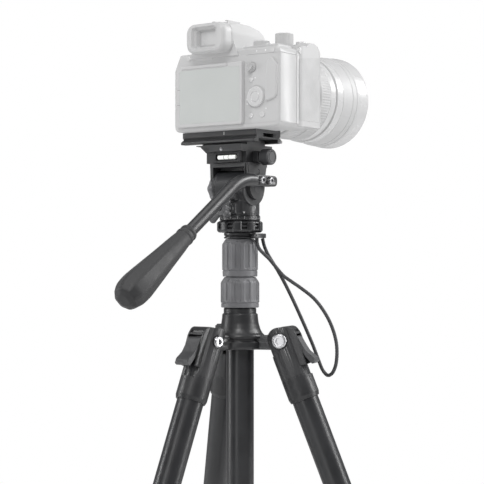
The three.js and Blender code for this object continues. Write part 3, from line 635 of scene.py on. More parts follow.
def twist_lock():
    profile = soften([
        (11.4, -332), (14.4, -332), (16.6, -328.6), (16.6, -292), (15.2, -288), (13.6, -288),
    ], 0.8)
    outside = divided(profile, 0.8, lambda across, along: abs(along))
    return spin([*outside, (13.6, -300.4), (11.4, -300.4), (11.4, -332)], 240,
                fluted(16.6, -327.5, -292.6, 14, 2.3, 0.9))


def foot():
    rubber = spin(soften([
        (0, -407), (8.5, -407), (12.4, -404), (14, -399), (14, -386), (13.3, -385.2), (13.3, -384.2),
        (14, -383.4), (12.6, -378.3), (9.4, -378.3), (9.4, -360.3), (0, -360.3),
    ], 0.8), 96)
    level = Matrix.Rotation(LEG_SPREAD, 4, "Y")
    floor = move(block(-60, 60, -60, 60, -60, 0), Matrix.Translation((0, 0, -400)) @ level)
    treads = [move(block(-20, 20, -0.5, 0.5, -1, 0.8), Matrix.Translation((0, y, -400)) @ level)
              for y in (-6, -3, 0, 3, 6)]
    return cut(rubber, floor, *treads)


LEG_PIECES = [
    ("casting", "", leg_casting, BLACK_CAST, "black_aluminium", 0.35),
    ("angle_tab", "_tab", angle_tab, TAB_RUBBER, "dark_rubber", 0.5),
    ("upper_tube", "", lambda: tube(13.2, 1.5, -300, -26), BLACK_TUBE, "black_aluminium", 0),
    ("twist_lock", "_lock", twist_lock, GREY_RUBBER, "grey_rubber", 0),
    ("lower_tube", "_section", lambda: tube(11.0, 1.3, -378, -58), BLACK_TUBE, "black_aluminium", 0),
    ("foot", "_section", foot, FOOT_RUBBER, "dark_rubber", 0.3),
]


def copied(obj):
    other = bpy.data.objects.new("copy", obj.data.copy())
    bpy.context.scene.collection.objects.link(other)
    return other


def make_legs():
    for name, body, draw, material, slot, edge in LEG_PIECES:
        drawn = draw()
        if edge:
            bevel(drawn, edge, 2, 30)
        for number, azimuth in enumerate(LEG_AZIMUTHS, 1):
            leg = move(copied(drawn), leg_matrix(azimuth))
            piece(leg, f"leg_{number}_{name}_shape", f"leg_{number}{body}", material,
                  f"leg_{number}_{name}", 0)
        bpy.data.objects.remove(drawn)
    bolt = bevel(pivot_bolt(), 0.25, 2, 30)
    for number, azimuth in enumerate(LEG_AZIMUTHS, 1):
        piece(move(copied(bolt), leg_matrix(azimuth)), f"leg_{number}_bolt_shape", "spider", STEEL,
              f"leg_{number}_pivot_bolt", 0)
    bpy.data.objects.remove(bolt)


make_legs()


# --------------------------------------------------------------------- column

def make_spider():
    bell = spin(soften([
        (0, -9), (22.6, -9), (24.2, -7), (24.2, -1.2), (22, -0.8), (22, 1.8), (24.8, 2.2), (24.8, 5),
        (22.4, 7.2), (20.4, 11), (18.7, 17), (17.9, 23), (17.8, 25.6), (17.0, 26.6), (16.3, 26.8),
        (16.3, 31.6), (15.4, 32.2), (15.4, 59), (0, 59),
    ], 1.4, 5), 120)
    eye = arc(9.4, range(-108, 127, 6), (PIVOT_RADIUS, 0))
    side = [(10, -9), (PIVOT_RADIUS - 4, -9), *eye, (26, 5), (10, 5)]
    lugs = []
    for azimuth in LEG_AZIMUTHS:
        lug = prism(side, -8.6, 8.6, "Y")
        lugs.append(turn(cut(lug, rod(4.2, -20, 20, "Y", (PIVOT_RADIUS, 0, 0))), math.radians(azimuth)))
    body = cut(join(bell, *lugs), rod(14.25, -12, 62, count=120))
    piece(body, "spider_casting", "spider", BLACK_CAST, "spider", 0.4)


def lock_profile(outer, inner):
    """Rows close enough together for the flutes' round ends."""
    return [*divided(outer, 0.6, lambda across, along: abs(along)), *inner, outer[0]]


def make_column():
    upper = lock_profile(
        soften([(14.2, 63.4), (17.3, 63.4), (17.5, 68.8), (17.0, 69.2), (17.0, 69.6), (17.9, 70.2),
                (17.9, 95.6), (14.4, 101), (11.8, 101)], 0.9),
        [(11.8, 97.4), (14.2, 97.4)])
    piece(spin(upper, 288, fluted(17.9, 70.6, 97.2, 12, 3.1, 1.15)), "column_upper_lock_grip",
          "column_upper_lock", GREY_RUBBER, "column_upper_lock", 0)
    lower = lock_profile(
        soften([(15.8, 32.5), (18.9, 32.5), (18.9, 36.4), (18.5, 36.8), (18.5, 37.2), (19.35, 37.8),
                (19.35, 57.4), (15.7, 63), (14.3, 63)], 0.9),
        [(14.3, 60), (15.8, 60)])
    piece(spin(lower, 288, fluted(19.35, 38.2, 60.4, 12, 3.3, 1.2)), "column_lower_lock_grip",
          "column_lower_lock", GREY_RUBBER, "column_lower_lock", 0)
    piece(tube(13.85, 1.5, -226, 97, 120), "column_outer_tube_shape", "outer_column", BLACK_TUBE,
          "column_outer_tube", 0)
    piece(tube(11.3, 1.4, -190, 103, 96), "column_inner_tube_shape", "inner_column", BLACK_TUBE,
          "column_inner_tube", 0)
    cap = spin(soften([
        (0, -234), (11, -234), (13.4, -232), (13.4, -226.3), (12.05, -226.3), (12.05, -216), (0, -216),
    ], 0.7), 96)
    slots = [turn(block(-13, 13, -0.8, 0.8, -235, -232.6), math.pi * k / 2) for k in range(2)]
    piece(cut(cap, *slots), "column_end_cap_shape", "outer_column", KNOB_BLACK,
          "column_end_cap", 0.2)
    plate = spin(soften([
        (0, 84), (9.6, 84), (9.6, 103.3), (14.8, 103.3), (14.8, 103.9), (16, 104.5), (16, 107),
        (4.7, 107), (4.7, 115.5), (0, 115.5),
    ], 0.35), 96)
    flange = tube(16, 4, 101.4, 103.2, 96)
    piece(plate, "column_top_plate_shape", "inner_column", BLACK, "column_top_plate", 0)
    piece(flange, "column_top_washer", "inner_column", BLACK, (), 0)


def make_link():
    angles = [-56 + 70 * k / 24 for k in range(25)]
    outline = arc(26, angles) + arc(16.3, reversed(angles))
    tab = prism(outline, 102, 106.2)
    holes = [turn(rod(2.2, 101, 107, at=(r, 0, 0)), math.radians(a)) for r, a in ((20.35, -40), (22.6, 1))]
    tab = turn(cut(tab, *holes), STRAP_AZIMUTH)
    piece(tab, "strap_link_shape", "inner_column", BLACK, "strap_link", 0.7)


make_spider()
make_column()
make_link()


# ------------------------------------------------------------------ head: base

RING_WINDOWS = 9
RING_TURN = math.radians(-53 + 11.8)  # where one window faces, a little right of the handle


def make_lock_ring():
    """The ring that clamps the head: raised pads with a pocket between each pair."""
    low, high, radius = 107.4, 119.0, 23.0

    def lobes(r, z, angle):
        if r < 12:
            return r
        wave = math.cos((angle - RING_TURN) * RING_WINDOWS)
        dip = 1 / (1 + math.exp(-9 * (wave - 0.15)))
        return r - 1.5 * dip

    profile = soften([(5.1, low), (radius - 1.8, low), (radius, low + 1.8), (radius, high - 1.6),
                      (radius - 2.6, high), (5.1, high)], 1.0, 5, closed=True)
    ring = spin([*profile, profile[0]], 288, lobes)
    window_turns = [RING_TURN + 2 * math.pi * k / RING_WINDOWS for k in range(RING_WINDOWS)]
    pockets = [turn(block(17.6, 24, -2.9, 2.9, low + 3.2, high - 2.6, 0.5, 2), a) for a in window_turns]
    bars = [turn(block(18, 20.3, -3.4, 3.4, low + 5.2, high - 4.6, 0.4, 2), a) for a in window_turns]
    ring = cut(ring, *pockets)
    piece(ring, "head_lock_ring_shape", "head_lock_ring", BLACK, "head_lock_ring", 0.25)
    inlay = cut(join(*bars), rod(18.4, low, high))
    piece(inlay, "head_lock_ring_inlays", "head_lock_ring", KNOB_BLACK, (), 0)


def curved_mark(radius, angle, half_width, z0, z1):
    """A small painted mark that follows a drum's curve."""
    steps = 4
    angles = [angle + half_width / radius * (2 * k / steps - 1) for k in range(steps + 1)]
    outline = [(r * math.cos(a), r * math.sin(a))
               for r, way in ((radius + 0.12, 1), (radius - 0.4, -1)) for a in angles[::way]]
    return prism(outline, z0, z1)


def make_pan_scale():
    low, high, radius = 119.3, 124.0, 20.2
    profile = soften([(5.1, low), (radius, low), (radius, high), (5.1, high)], 0.5, 4, closed=True)
    piece(spin([*profile, profile[0]], 144), "pan_scale_ring_shape", "inner_column", BLACK,
          "pan_scale_ring", 0)
    ticks = []
    for k in range(72):
        tall = k % 4 == 0
        top = 122.9 if tall else 121.6
        ticks.append(curved_mark(radius, math.radians(5 * k), 0.3 if tall else 0.12, 120.4, top))
    piece(join(*ticks), "pan_scale_marks", "inner_column", SCALE_MARKS, (), 0)


def make_pan_base():
    housing = spin(soften([
        (0, 124.3), (19.5, 124.3), (19.5, 125.2), (19.1, 125.5), (19.1, 125.9), (19.5, 126.2), (19.5, 138.4),
        (18.7, 140.6), (17, 142.6), (0, 143),
    ], 0.9), 144)
    drum = turned(soften([
        (0, -19.8), (17.4, -19.8), (18, -19.2), (18, -17), (17.5, -16.6), (17.5, 16.6), (18, 17),
        (18, 19.2), (17.4, 19.8), (0, 19.8),
    ], 0.5), "X", TILT_AT, 144)
    neck = block(-15, 15, TILT_Y - 12, TILT_Y + 12, 138, TILT_Z, 2.5)
    saddle = block(-9.5, 11.5, -22.4, -10, 138.6, 144.6, 1.6)
    boss = rod(5.4, -22, -14, "Y", PAN_SCREW, 0.7)
    pad = block(-4.6, 8.6, -19.9, -10, 125.4, 136.6, 1.4)
    bore = rod(4.2, -30, 30, "X", TILT_AT)
    pocket = rod(2.8, -24, -10, "Y", PAN_SCREW)
    whole = cut(join(housing, drum, neck, saddle, boss, pad), bore, pocket)
    piece(whole, "pan_housing", "pan_unit", BLACK, "pan_base", 0.4)
    arrow = prism([(-1.1, 0), (1.1, 0), (0, -2.0)], -19.75, -18.6, "Y")
    arrow = turn(shift(arrow, z=127.6), RING_TURN + math.pi / 2)
    piece(arrow, "pan_index", "pan_unit", MARKS, (), 0)


def make_pan_knob():
    wings = [turn(block(-3.6, reach, -3.8, 3.8, 0.3, 6.7, 2.6, 4), math.radians(angle))
             for angle, reach in ((225, 19), (315, 12.5), (45, 12.5), (135, 12.5))]
    disc = rod(7.5, 0, 7, edge=1.6)
    head = cut(join(disc, *wings), rod(3.2, 5.6, 8, edge=0.5))
    head = shift(turn(head, math.pi / 2, "X"), PAN_SCREW[0], -29, PAN_SCREW[2])
    hub = turned(soften([(0, -30), (4.6, -30), (5.0, -28.4), (5.0, -25.6), (4.2, -24.6), (4.2, -22.3),
                         (0, -22.3)], 0.4), "Y", PAN_SCREW, 64)
    screw = rod(2.4, -23, -12, "Y", PAN_SCREW)
    piece(join(head, hub, screw), "pan_lock_knob", "pan_knob", KNOB_BLACK, "pan_knob", 0.3)
    cap = rod(2.9, -36.35, -34.2, "Y", PAN_SCREW, 0.4)
    piece(cap, "pan_knob_cap", "pan_knob", PLATE_GREY, (), 0)


make_lock_ring()
make_pan_scale()
make_pan_base()
make_pan_knob()


# ---------------------------------------------------------------- head: cradle

def make_cradle():
    rear, front, top = TILT_Y - 15, TILT_Y + 16, 176
    outline = [(front, top), (rear, top), (rear + 0.6, 162),
               *arc(12, range(180, 361, 8), (TILT_Y, TILT_Z)), (front - 3.6, 160)]
    walls = [prism(outline, *sides, "X") for sides in ((-24, -20.3), (20.3, 24))]
    deck = block(-24, 24, rear, front, 172, top)
    pad = cut(block(-19.8, 19.8, TILT_Y - 3, TILT_Y + 6, 167.5, 173),
              rod(18.3, -30, 30, "X", TILT_AT, count=120))
    ribs = [prism(shape, -19.8, -17.0, "Y") for shape in (
        [(20.4, 175), (21.3, 175), (21.0, 158), (20.4, 158)],
        [(22.4, 175), (23.3, 175), (23.9, 160), (23.1, 160)],
    )]
    whole = join(*walls, deck, pad, *ribs)
    shaft = rod(4.2, -30, 30, "X", TILT_AT)
    screws = [rod(2.2, 19, 26, "X", (0, y, ARM_Z), count=32) for y in ARM_SCREW_Y]
    plug_at = (0, -1.9, 167.2)
    dimple = rod(2.6, 23.4, 25, "X", plug_at)
    rear_pocket = prism([(21.1, 158), (23.2, 158), (22.3, 173.5)], -19.5, -15.4, "Y")
    whole = cut(whole, shaft, *screws, dimple, rear_pocket)
    piece(whole, "tilt_cradle_shape", "tilt_unit", PLATE_GREY, "tilt_cradle", 0.6)
    cap = rod(5.6, 23.8, 24.25, "X", TILT_AT, 0.2, 72)
    piece(cap, "tilt_shaft_cap", "tilt_unit", KNOB_BLACK, (), 0)
    plug = rod(2.3, 23.2, 23.9, "X", plug_at, 0.25)
    piece(plug, "cradle_plug", "tilt_unit", BLACK, (), 0)


def make_shaft():
    shaft = turned(soften([(0, -29), (4, -29), (4, 23.6), (0, 23.6)], 0.5), "X", TILT_AT)
    shaft = cut(shaft, rod(2.1, 22.2, 25, "X", TILT_AT, count=6))
    piece(shaft, "tilt_shaft_shape", "pan_unit", STEEL, "tilt_shaft", 0.15)


def make_tilt_knob():
    def lobes(r, z, angle):
        return r if r < 7 else r - 1.15 * (1 - math.cos(6 * angle)) * (r / 12.8) ** 4

    profile = soften([(0, -31), (5.5, -31), (6.2, -30.6), (6.8, -30.6), (7.4, -31), (11.2, -30.6),
                      (12.8, -29), (12.8, -26), (11.6, -24.4), (4.2, -24.4), (4.2, -29.3), (0, -29.3)], 0.5)
    rows = divided(profile, 1.2, lambda across, along: abs(across))
    knob = turned(rows, "X", TILT_AT, 192, lobes)
    piece(knob, "tilt_drag_knob", "tilt_knob", GREY_RUBBER, "tilt_knob", 0)


def make_clamp():
    side = [(-18, 176.3), (20, 176.3), (23, 186), (27, 192), (27, 194), (15, 194), (15, 196), (15.9, 199),
            (-15.9, 199), (-15, 196), (-15, 194), (-25, 194), (-25, 193.2), (-24.4, 187.4), (-21.4, 186.8),
            (-21.4, 176.3)]
    body = prism(side, -36, 20, "X")
    left_end = prism([(-40, 170), (-29, 170), (-29, 186.6), (-36.6, 193), (-40, 193)], -40, 40, "Y")
    housing_trim = [block(-40, -16.5, -30, -17, 170, 187.0), block(16.4, 30, -30, -17, 170, 187.0)]
    rear_trim = prism([(-40, 170), (-20.5, 170), (-20.5, 190.8), (-36.6, 193.3), (-40, 193.3)],
                      -40, -17.5, "Y")
    body = cut(body, left_end, rear_trim, *housing_trim)
    boss = block(17, 26.6, -5.4, 5.4, 176.5, 187.5, 0.8)
    bore = rod(4.4, -23.5, 28, "X", (0, 0, CLAMP_SHAFT_Z))
    cam_room = rod(5.7, -22.5, 0.5, "X", (0, 0, 181.7))
    pad_well = block(-22.3, 0.3, -6.3, 6.3, CLAMP_SHAFT_Z, 202)
    vial_room = prism(rectangle(-14.0, 12.8, 178.3, 184.7, 1.2), -26, -17.4, "Y")
    stop_at = (-5, 0, 189.3)
    screw_hole = rod(1.9, -26, -19, "Y", stop_at)
    body = cut(join(body, boss), bore, cam_room, pad_well, vial_room, screw_hole)
    piece(body, "clamp_body_shape", "tilt_unit", CLAMP_GREY, "clamp_body", 0.35)
    tray = prism(rectangle(-13.8, 12.6, 178.5, 184.5, 1.1), -18.6, -17.6, "Y")
    surround = cut(prism(rectangle(-16.3, 16.2, 176.6, 186.2, 0.8), -21.9, -20.9, "Y"),
                   prism(rectangle(-13.9, 12.7, 178.4, 184.6, 1.2), -23, -20, "Y"))
    piece(join(tray, surround), "vial_housing", "tilt_unit", DEEP_BLACK, (), 0.1)
    screw = cut(rod(1.7, -24.9, -20, "Y", stop_at, 0.3), rod(0.8, -26, -24.3, "Y", stop_at, count=6))
    piece(screw, "clamp_stop_screw", "tilt_unit", STEEL, (), 0)
    tube_part = rod(2.3, -11.5, 10.5, "X", VIAL_AT, 1.0, 64)
    piece(tube_part, "bubble_vial_shape", "tilt_unit", VIAL, "bubble_vial", 0)
    rings = [
        turned([(2.25, x), (2.42, x), (2.42, x + 0.45), (2.25, x + 0.45), (2.25, x)], "X", VIAL_AT, 64)
        for x in (-3.4, 2.0)
    ]
    piece(join(*rings), "vial_rings", "tilt_unit", LIQUID_MARK, (), 0)
    pad = block(-22, 0, -6, 6, 187, 198.9, 0.6)
    piece(pad, "clamp_pad_shape", "clamp_pad", STEEL, "clamp_pad", 0)


def make_clamp_knob():
    x0 = 26.9

    def knurl(r, z, angle):
        inside = r > 7.9 and x0 + 3 < z < x0 + 11
        return r - 0.22 * (0.5 + 0.5 * math.cos(36 * angle)) if inside else r

    profile = soften([(0, x0 + 1), (6.4, x0 + 1), (8, x0 + 2.4), (8, x0 + 3.2), (8, x0 + 10.8),
                      (8, x0 + 11.7), (7.1, x0 + 13), (5.8, x0 + 13), (5.3, x0 + 12.3), (0, x0 + 12.3)], 0.4)
    knob = turned(profile, "X", count=216, shape=knurl)
    shaft = rod(4, -23, x0 + 4, "X", edge=0.4)
    cam = rod(4.2, -21.5, -0.5, "X", (0, 0, 1), 0.4)
    piece(shift(join(knob, shaft, cam), z=CLAMP_SHAFT_Z), "clamp_knob_shape", "clamp_knob", KNOB_BLACK,
          "clamp_knob", 0)
    disc = rod(5.0, x0 + 12.1, x0 + 12.75, "X", (0, 0, CLAMP_SHAFT_Z), 0.25, 72)
    piece(disc, "clamp_knob_disc", "clamp_knob", TAB_RUBBER, (), 0)


make_cradle()
make_shaft()
make_tilt_knob()
make_clamp()
make_clamp_knob()


# ------------------------------------------------------------------- head: arm

ARM_X = sum(span("arm_grip", "X")) / 2
ARM_RADIUS = 6.2
BEND_START = -24
BEND_RADIUS = 55
SLOPE = math.radians(34)
GRIP_START = 77
GRIP_LENGTH = 112
BEND_END = (BEND_START - BEND_RADIUS * math.sin(SLOPE), ARM_Z - BEND_RADIUS * (1 - math.cos(SLOPE)))


def along_arm(distance):
    return Vector((ARM_X, BEND_END[0] - distance * math.cos(SLOPE), BEND_END[1] - distance * math.sin(SLOPE)))


def make_arm():
    path = [Vector((ARM_X, y, ARM_Z)) for y in (-17.6, BEND_START)]
    for k in range(1, 25):
        a = SLOPE * k / 24
        path.append(Vector((ARM_X, BEND_START - BEND_RADIUS * math.sin(a),
                            ARM_Z - BEND_RADIUS * (1 - math.cos(a)))))
    path += [along_arm(d) for d in (20, 60, GRIP_START + GRIP_LENGTH - 14)]
    round_part = bevel(swept(path, lambda k, angle: ARM_RADIUS), 0.8, 3, 60)
    lug = prism(rectangle(-22, 15, ARM_Z - 5.3, ARM_Z + 5.3, 5.2, 8), 24.3, 35.6, "X")
    lug = bevel(lug, 1.3, 4)
    holes = [rod(2.2, 20, 42, "X", (0, y, ARM_Z), count=32) for y in ARM_SCREW_Y]
    seats = [rod(3.9, 34.8, 37.6, "X", (0, y, ARM_Z)) for y in ARM_SCREW_Y]
    piece(cut(join(round_part, lug), *holes, *seats), "arm_tube_shape", "tilt_unit", BLACK_CAST,
          "arm_tube", 0.25)


def make_arm_screws():
    for number, y in enumerate(ARM_SCREW_Y, 1):
        screw = turned(soften([(0, 20.7), (2, 20.7), (2, 34.9), (3.4, 34.9), (3.4, 39.3), (2.9, 39.8),
                               (0, 39.8)], 0.25), "X", (0, y, ARM_Z), 64)
        socket = rod(1.75, 37.4, 41, "X", (0, y, ARM_Z), count=6)
        grooves = [rod(0.22, 36, 39, "X", (0, y + 3.42 * math.cos(a), ARM_Z + 3.42 * math.sin(a)), count=8)
                   for a in (2 * math.pi * k / 18 for k in range(18))]
        piece(cut(screw, socket, *grooves), f"arm_screw_{number}_shape", "tilt_unit", STEEL,
              f"arm_screw_{number}", 0)


def make_grip():
    """A soft grip with eight broad facets that fade out towards its collar."""
    def facets(r, z, angle):
        if r < 6.9:
            return r
        share = min(1.0, max(0.0, (z - 16) / 46))
        turns = angle / (math.pi / 4)
        off = (turns - math.floor(turns) - 0.5) * math.pi / 4
        flat = math.cos(math.pi / 8) / math.cos(off) * 1.035
        return r * (1 + share * (min(1.0, flat) - 1))

    profile = [(6.5, 0), *soften([
        (6.5, 0), (7.8, 0), (8.5, 1.6), (8.5, 3.6), (7.8, 5), (7.9, 6.2), (9.0, 7.6), (9.0, 10), (8.4, 11.4),
        (9.6, 22), (11.8, 48), (14.6, 78), (15.6, 91), (14.8, 102), (11.6, 109.4), (6, GRIP_LENGTH),
        (0, GRIP_LENGTH),
    ], [0, 0.6, 0.6, 0.6, 0.6, 0.6, 0.8, 0.8, 1, 3, 8, 8, 6, 3, 1.5, 0.8, 0], 6)[1:]]
    rows = [*divided(profile, 1.5, math.hypot), (0, GRIP_LENGTH - 13), (6.5, GRIP_LENGTH - 13)]
    start = along_arm(GRIP_START)
    down = Vector((0, -math.cos(SLOPE), -math.sin(SLOPE)))
    lie = Matrix.Translation(start) @ Vector((0, 0, 1)).rotation_difference(down).to_matrix().to_4x4()
    grip = spin([*rows, rows[0]], 192, facets)
    piece(move(grip, lie), "arm_grip_shape", "tilt_unit", GRIP_RUBBER, "arm_grip", 0, sharp=30)


make_arm()
make_arm_screws()
make_grip()


# --------------------------------------------------------------- release plate

def make_plate():
    z0, z1 = 196.0, 208.0
    right = [(15.5, z0), (23.1, z0), (23.5, z0 + 0.4), (23.5, z0 + 2.2), (19, z0 + 5.2), (20.5, z0 + 7),
             (20.5, z1)]
    left = [(-y, z) for y, z in reversed(right)]
    plate = prism([*right, *left, (-16.4, z0 + 3.5), (16.4, z0 + 3.5)], -57, 35, "X")
    lip = block(28, 35, 18.6, 20.5, 207, 209.8, 0.5, 2)
    slots = [block(x, x + 9, -8.5, 8.5, z0 + 5, z0 + 8.8, 0.8, 2) for x in (-58, 27)]
    counterbore = rod(9, z0 + 3, z0 + 8.6, at=TRIPOD_SCREW, count=72)
    hole = rod(3.5, z0 + 3, z1 + 1, at=TRIPOD_SCREW)
    stops = [rod(1.2, z0 - 1, z0 + 1.5, at=(x, 19.5, 0), count=24) for x in (-50, 28)]
    plate = cut(join(plate, lip), *slots, counterbore, hole, *stops)
    piece(plate, "release_plate_shape", "camera", PLATE_GREY, "release_plate", 0.25)
    tick = block(-4.7, -4.1, -20.62, -20.2, z1 - 4.2, z1 - 0.9)
    piece(tick, "release_plate_mark", "camera", MARKS, (), 0)
    mat = cut(block(-55.5, 27, -18.5, 17.6, 207.8, 208.28, 0.15, 2), rod(9, 206, 210, at=TRIPOD_SCREW))
    piece(mat, "release_plate_mat", "camera", TAB_RUBBER, (), 0)
    screw = turned(soften([(0, z0 + 4.4), (7.6, z0 + 4.4), (8.4, z0 + 5.2), (8.4, z0 + 8.2), (3.2, z0 + 8.2),
                           (3.2, z1 + 5.6), (0, z1 + 5.6)], 0.3), "Z", TRIPOD_SCREW, 72)
    slot = block(LENS_X - 7, LENS_X + 7, -0.9, 0.9, z0 + 4, z0 + 6.2)
    piece(cut(screw, slot), "camera_screw_shape", "camera", STEEL, "camera_screw", 0)


make_plate()


# --------------------------------------------------------------- camera: body

BODY_REAR = -28.0
BODY_FRONT = 18.0
BODY_TOP = 289.0
HUMP_TOP = 317.0
SCREEN_X = (-56, 27)
SCREEN_HEIGHT = (212.5, 273)
GRIP_OUT = 71.0


def camera_shell():
    """The main box with its raised shoulder, grip, thumb rest and finder housing."""
    shell = prism(rectangle(-62, 69, 208.3, 286, 7, 8), BODY_REAR, BODY_FRONT, "Y")
    corner = prism([(-63, 268), (-54.4, 287), (-63, 287)], -40, 30, "Y")
    shell = bevel(cut(shell, corner), 2.4, 4, 20)
    shoulder = bevel(prism([(20, 279), (65, 279), (62, BODY_TOP), (20, BODY_TOP)], -22, 16, "Y"), 1.2, 3)
    grip = prism(rectangle(40, GRIP_OUT, 2, 43, 9, 8), 210.3, 295)
    grip_side = soften([(-40, 209), (43, 209), (43, 282), (31, 293), (18, 293), (15.6, 289), (-40, 289)],
                       [0, 6, 9, 5, 4, 1, 0], 6, closed=True)
    grip = bevel(common(grip, prism(grip_side, 30, 80, "X")), 1.6, 3, 45)
    profile = soften([(-30, 280), (-30, 303), (-27, 311), (-8, 314.5), (8, 314.5), (27, 309.5), (29, 300),
                      (23, 290), (20, 280)], [0, 4, 4, 3, 5, 5, 5, 3, 0], 5, closed=True)
    hump = prism(profile, LENS_X - 34, LENS_X + 34, "X")
    roof = prism(soften([
        (LENS_X - 30, 280), (LENS_X + 30, 280), (LENS_X + 26.5, 290), (LENS_X + 20, 303),
        (LENS_X + 15, HUMP_TOP), (LENS_X - 15, HUMP_TOP), (LENS_X - 20, 303), (LENS_X - 26.5, 290),
    ], [0, 0, 3, 2, 1.5, 1.5, 2, 3], 5, closed=True), -40, 40, "Y")
    hump = bevel(common(hump, roof), 0.9, 3, 25)
    thumb = bevel(prism(soften([(52, 232), (66, 236), (67, 268), (60, 276), (54, 272)], 4, 5, closed=True),
                        -30.4, -24, "Y"), 1.8, 4)
    mount = rod(30.5, BODY_FRONT - 2, 21.7, "Y", LENS_AT, 0.6, 120)
    left_pod = bevel(prism(rectangle(-53.4, -38, -18, 8, 5), 280, 287.6), 1.2, 3)
    return join(shell, shoulder, grip, hump, thumb, mount, left_pod)


def make_camera_body():
    body = camera_shell()
    shoe = block(LENS_X - 10.5, LENS_X + 10.5, -20, 0, HUMP_TOP - 6, HUMP_TOP + 0.6, 0.3, 2)
    slot = block(LENS_X - 8.8, LENS_X + 8.8, -21, -1.5, HUMP_TOP - 1.4, HUMP_TOP - 0.2)
    mouth = block(LENS_X - 6.5, LENS_X + 6.5, -21, -1.5, HUMP_TOP - 0.8, HUMP_TOP + 2)
    bore = rod(25, 2, 30, "Y", LENS_AT, count=96)
    x0, x1 = SCREEN_X
    z0, z1 = SCREEN_HEIGHT
    screen_room = prism(rectangle(x0 - 0.6, x1 + 0.7, z0 - 0.5, z1 + 0.5, 2.6), -40, -27.3, "Y")
    screw_hole = rod(3.5, 207, 214.6, at=TRIPOD_SCREW)
    shutter_well = rod(5.5, 289.2, 300, at=(57, 24.5, 0), count=64)
    stick_well = rod(5.2, -29, -27, "Y", (36, 0, 267), count=64)
    seams = [block(*limits) for limits in (
        (68.35, 70.4, -0.5, 0.3, 213, 283),
        (28.2, 69.6, -28.6, -27.55, 279.1, 279.6),
        (68.45, 69.6, -28.6, 2, 279.1, 279.6),
        (-62.6, -61.5, -20, 14, 279.1, 279.6),
        (27.6, 66, -28.6, -27.6, 212.4, 212.85),
        (68.45, 69.6, -26, 2, 212.4, 212.85),
        (-62.6, -61.5, -24, 14, 212.4, 212.85),
    )]
    wheel_well = rod(11.2, -29, -27.5, "Y", (41, 0, 238), count=96)
    door = prism(rectangle(-20, 10, 224, 276, 3), -62.6, -61.65, "X")
    door_inner = prism(rectangle(-19.6, 9.6, 224.4, 275.6, 2.8), -63, -60, "X")
    body = cut(join(body, shoe), slot, mouth, bore, screen_room, screw_hole, shutter_well, stick_well,
               wheel_well, *seams, cut(door, door_inner))
    pad = block(LENS_X - 6, LENS_X + 6, -19.6, -1.9, HUMP_TOP - 1.5, HUMP_TOP - 1.1)
    piece(join(body, pad), "camera_body_shape", "camera", PALE, "camera_body", 0.25, 2, 30)


def make_grip_skin():
    """Textured rubber let into the front and side of the hand grip."""
    outer = prism(rectangle(39, GRIP_OUT + 0.35, 1, 43.35, 9.3, 8), 216, 281)
    inner = prism(rectangle(38, GRIP_OUT - 0.4, 0, 42.6, 8.8, 8), 215, 282)
    side = soften([(3.4, 216), (44, 216), (44, 281.0), (42.6, 281.0), (3.4, 276)], [1.5, 0, 0, 2, 1.5], 4,
                  closed=True)
    skin = common(cut(outer, inner), prism(side, 44, 80, "X"))
    piece(skin, "hand_grip_skin", "camera", PALE_GRIP, (), 0.12)


def button(x, z, r, proud=0.9):
    return turned(soften([(0, BODY_REAR + 0.4), (r, BODY_REAR + 0.4), (r, BODY_REAR - proud + 0.3),
                          (r - 0.5, BODY_REAR - proud), (r * 0.5, BODY_REAR - proud + 0.15),
                          (0, BODY_REAR - proud + 0.2)], 0.25), "Y", (x, 0, z), 48)


def make_buttons():
    caps = [button(*place) for place in (
        (35, 255, 2.4), (34.4, 220, 2.5), (48.2, 220.6, 3.0), (60.6, 281.8, 2.2, 0.7), (-43, 281.6, 2.6, 0.8),
    )]
    bar = bevel(prism(rectangle(-33, -13, 278.4, 281.4, 1.2), -28.9, -27.6, "Y"), 0.3, 2)
    top = turned(soften([(0, 288.6), (3, 288.6), (3, 290.3), (2.5, 290.8), (0, 290.6)], 0.3), "Z",
                 (47.5, -17.5, 0), 48)
    power = turned(soften([(0, 287.2), (6.6, 287.2), (6.6, 289.6), (5.9, 290.2), (0, 290.2)], 0.4), "Z",
                   (-47, -5, 0), 72)
    piece(join(*caps, bar, top, power), "camera_buttons", "camera", PALE_GLOSS, (), 0)
    dots = [(30, 236, 0.7), (30, 231.6, 0.7), (53.6, 236.6, 0.8), (52.6, 226, 0.8), (39.6, 256.4, 0.7),
            (52, 282.4, 0.9), (41.4, 282.4, 0.7)]
    marks = [rod(r, -28.15, -27.2, "Y", (x, 0, z), count=24) for x, z, r in dots]
    piece(join(*marks), "camera_marks", "camera", PALE_LIGHT, (), 0)
    lugs = [rod(3.4, -61.4, -54, "X", (0, -14, 279), 0.4),
            rod(3.4, 60, 70.2, "X", (0, 6, 284), 0.4)]
    piece(join(*lugs), "strap_lugs", "camera", PALE_GLOSS, (), 0)
    plate = rod(15.6, 208.05, 208.6, at=TRIPOD_SCREW, count=96)
    piece(cut(plate, rod(9.4, 207, 210, at=TRIPOD_SCREW)), "tripod_socket_ring", "camera", PALE_SHADE,
          (), 0)


def knurled(r, low, high, teeth, depth, dish=0.4):
    """A dial with fine teeth round its side and a slightly dished top."""
    def shape(radius, z, angle):
        if radius < r - 0.05 or z < low + 0.9 or z > high - 1.3:
            return radius
        wave = math.cos(teeth * angle)
        return radius - depth * (0.5 + 0.5 * math.tanh(3 * wave))

    rows = [(0, low), (r - 0.6, low), (r, low + 0.6), (r, low + 1.0), (r, high - 1.4), (r, high - 1.2),
            *soften([(r, high - 1.2), (r - 0.2, high), (r - 1.6, high), (r - 2.2, high - dish),
                     (0, high - dish)], 0.5, 3)[1:]]
    return spin(rows, teeth * 8, shape)


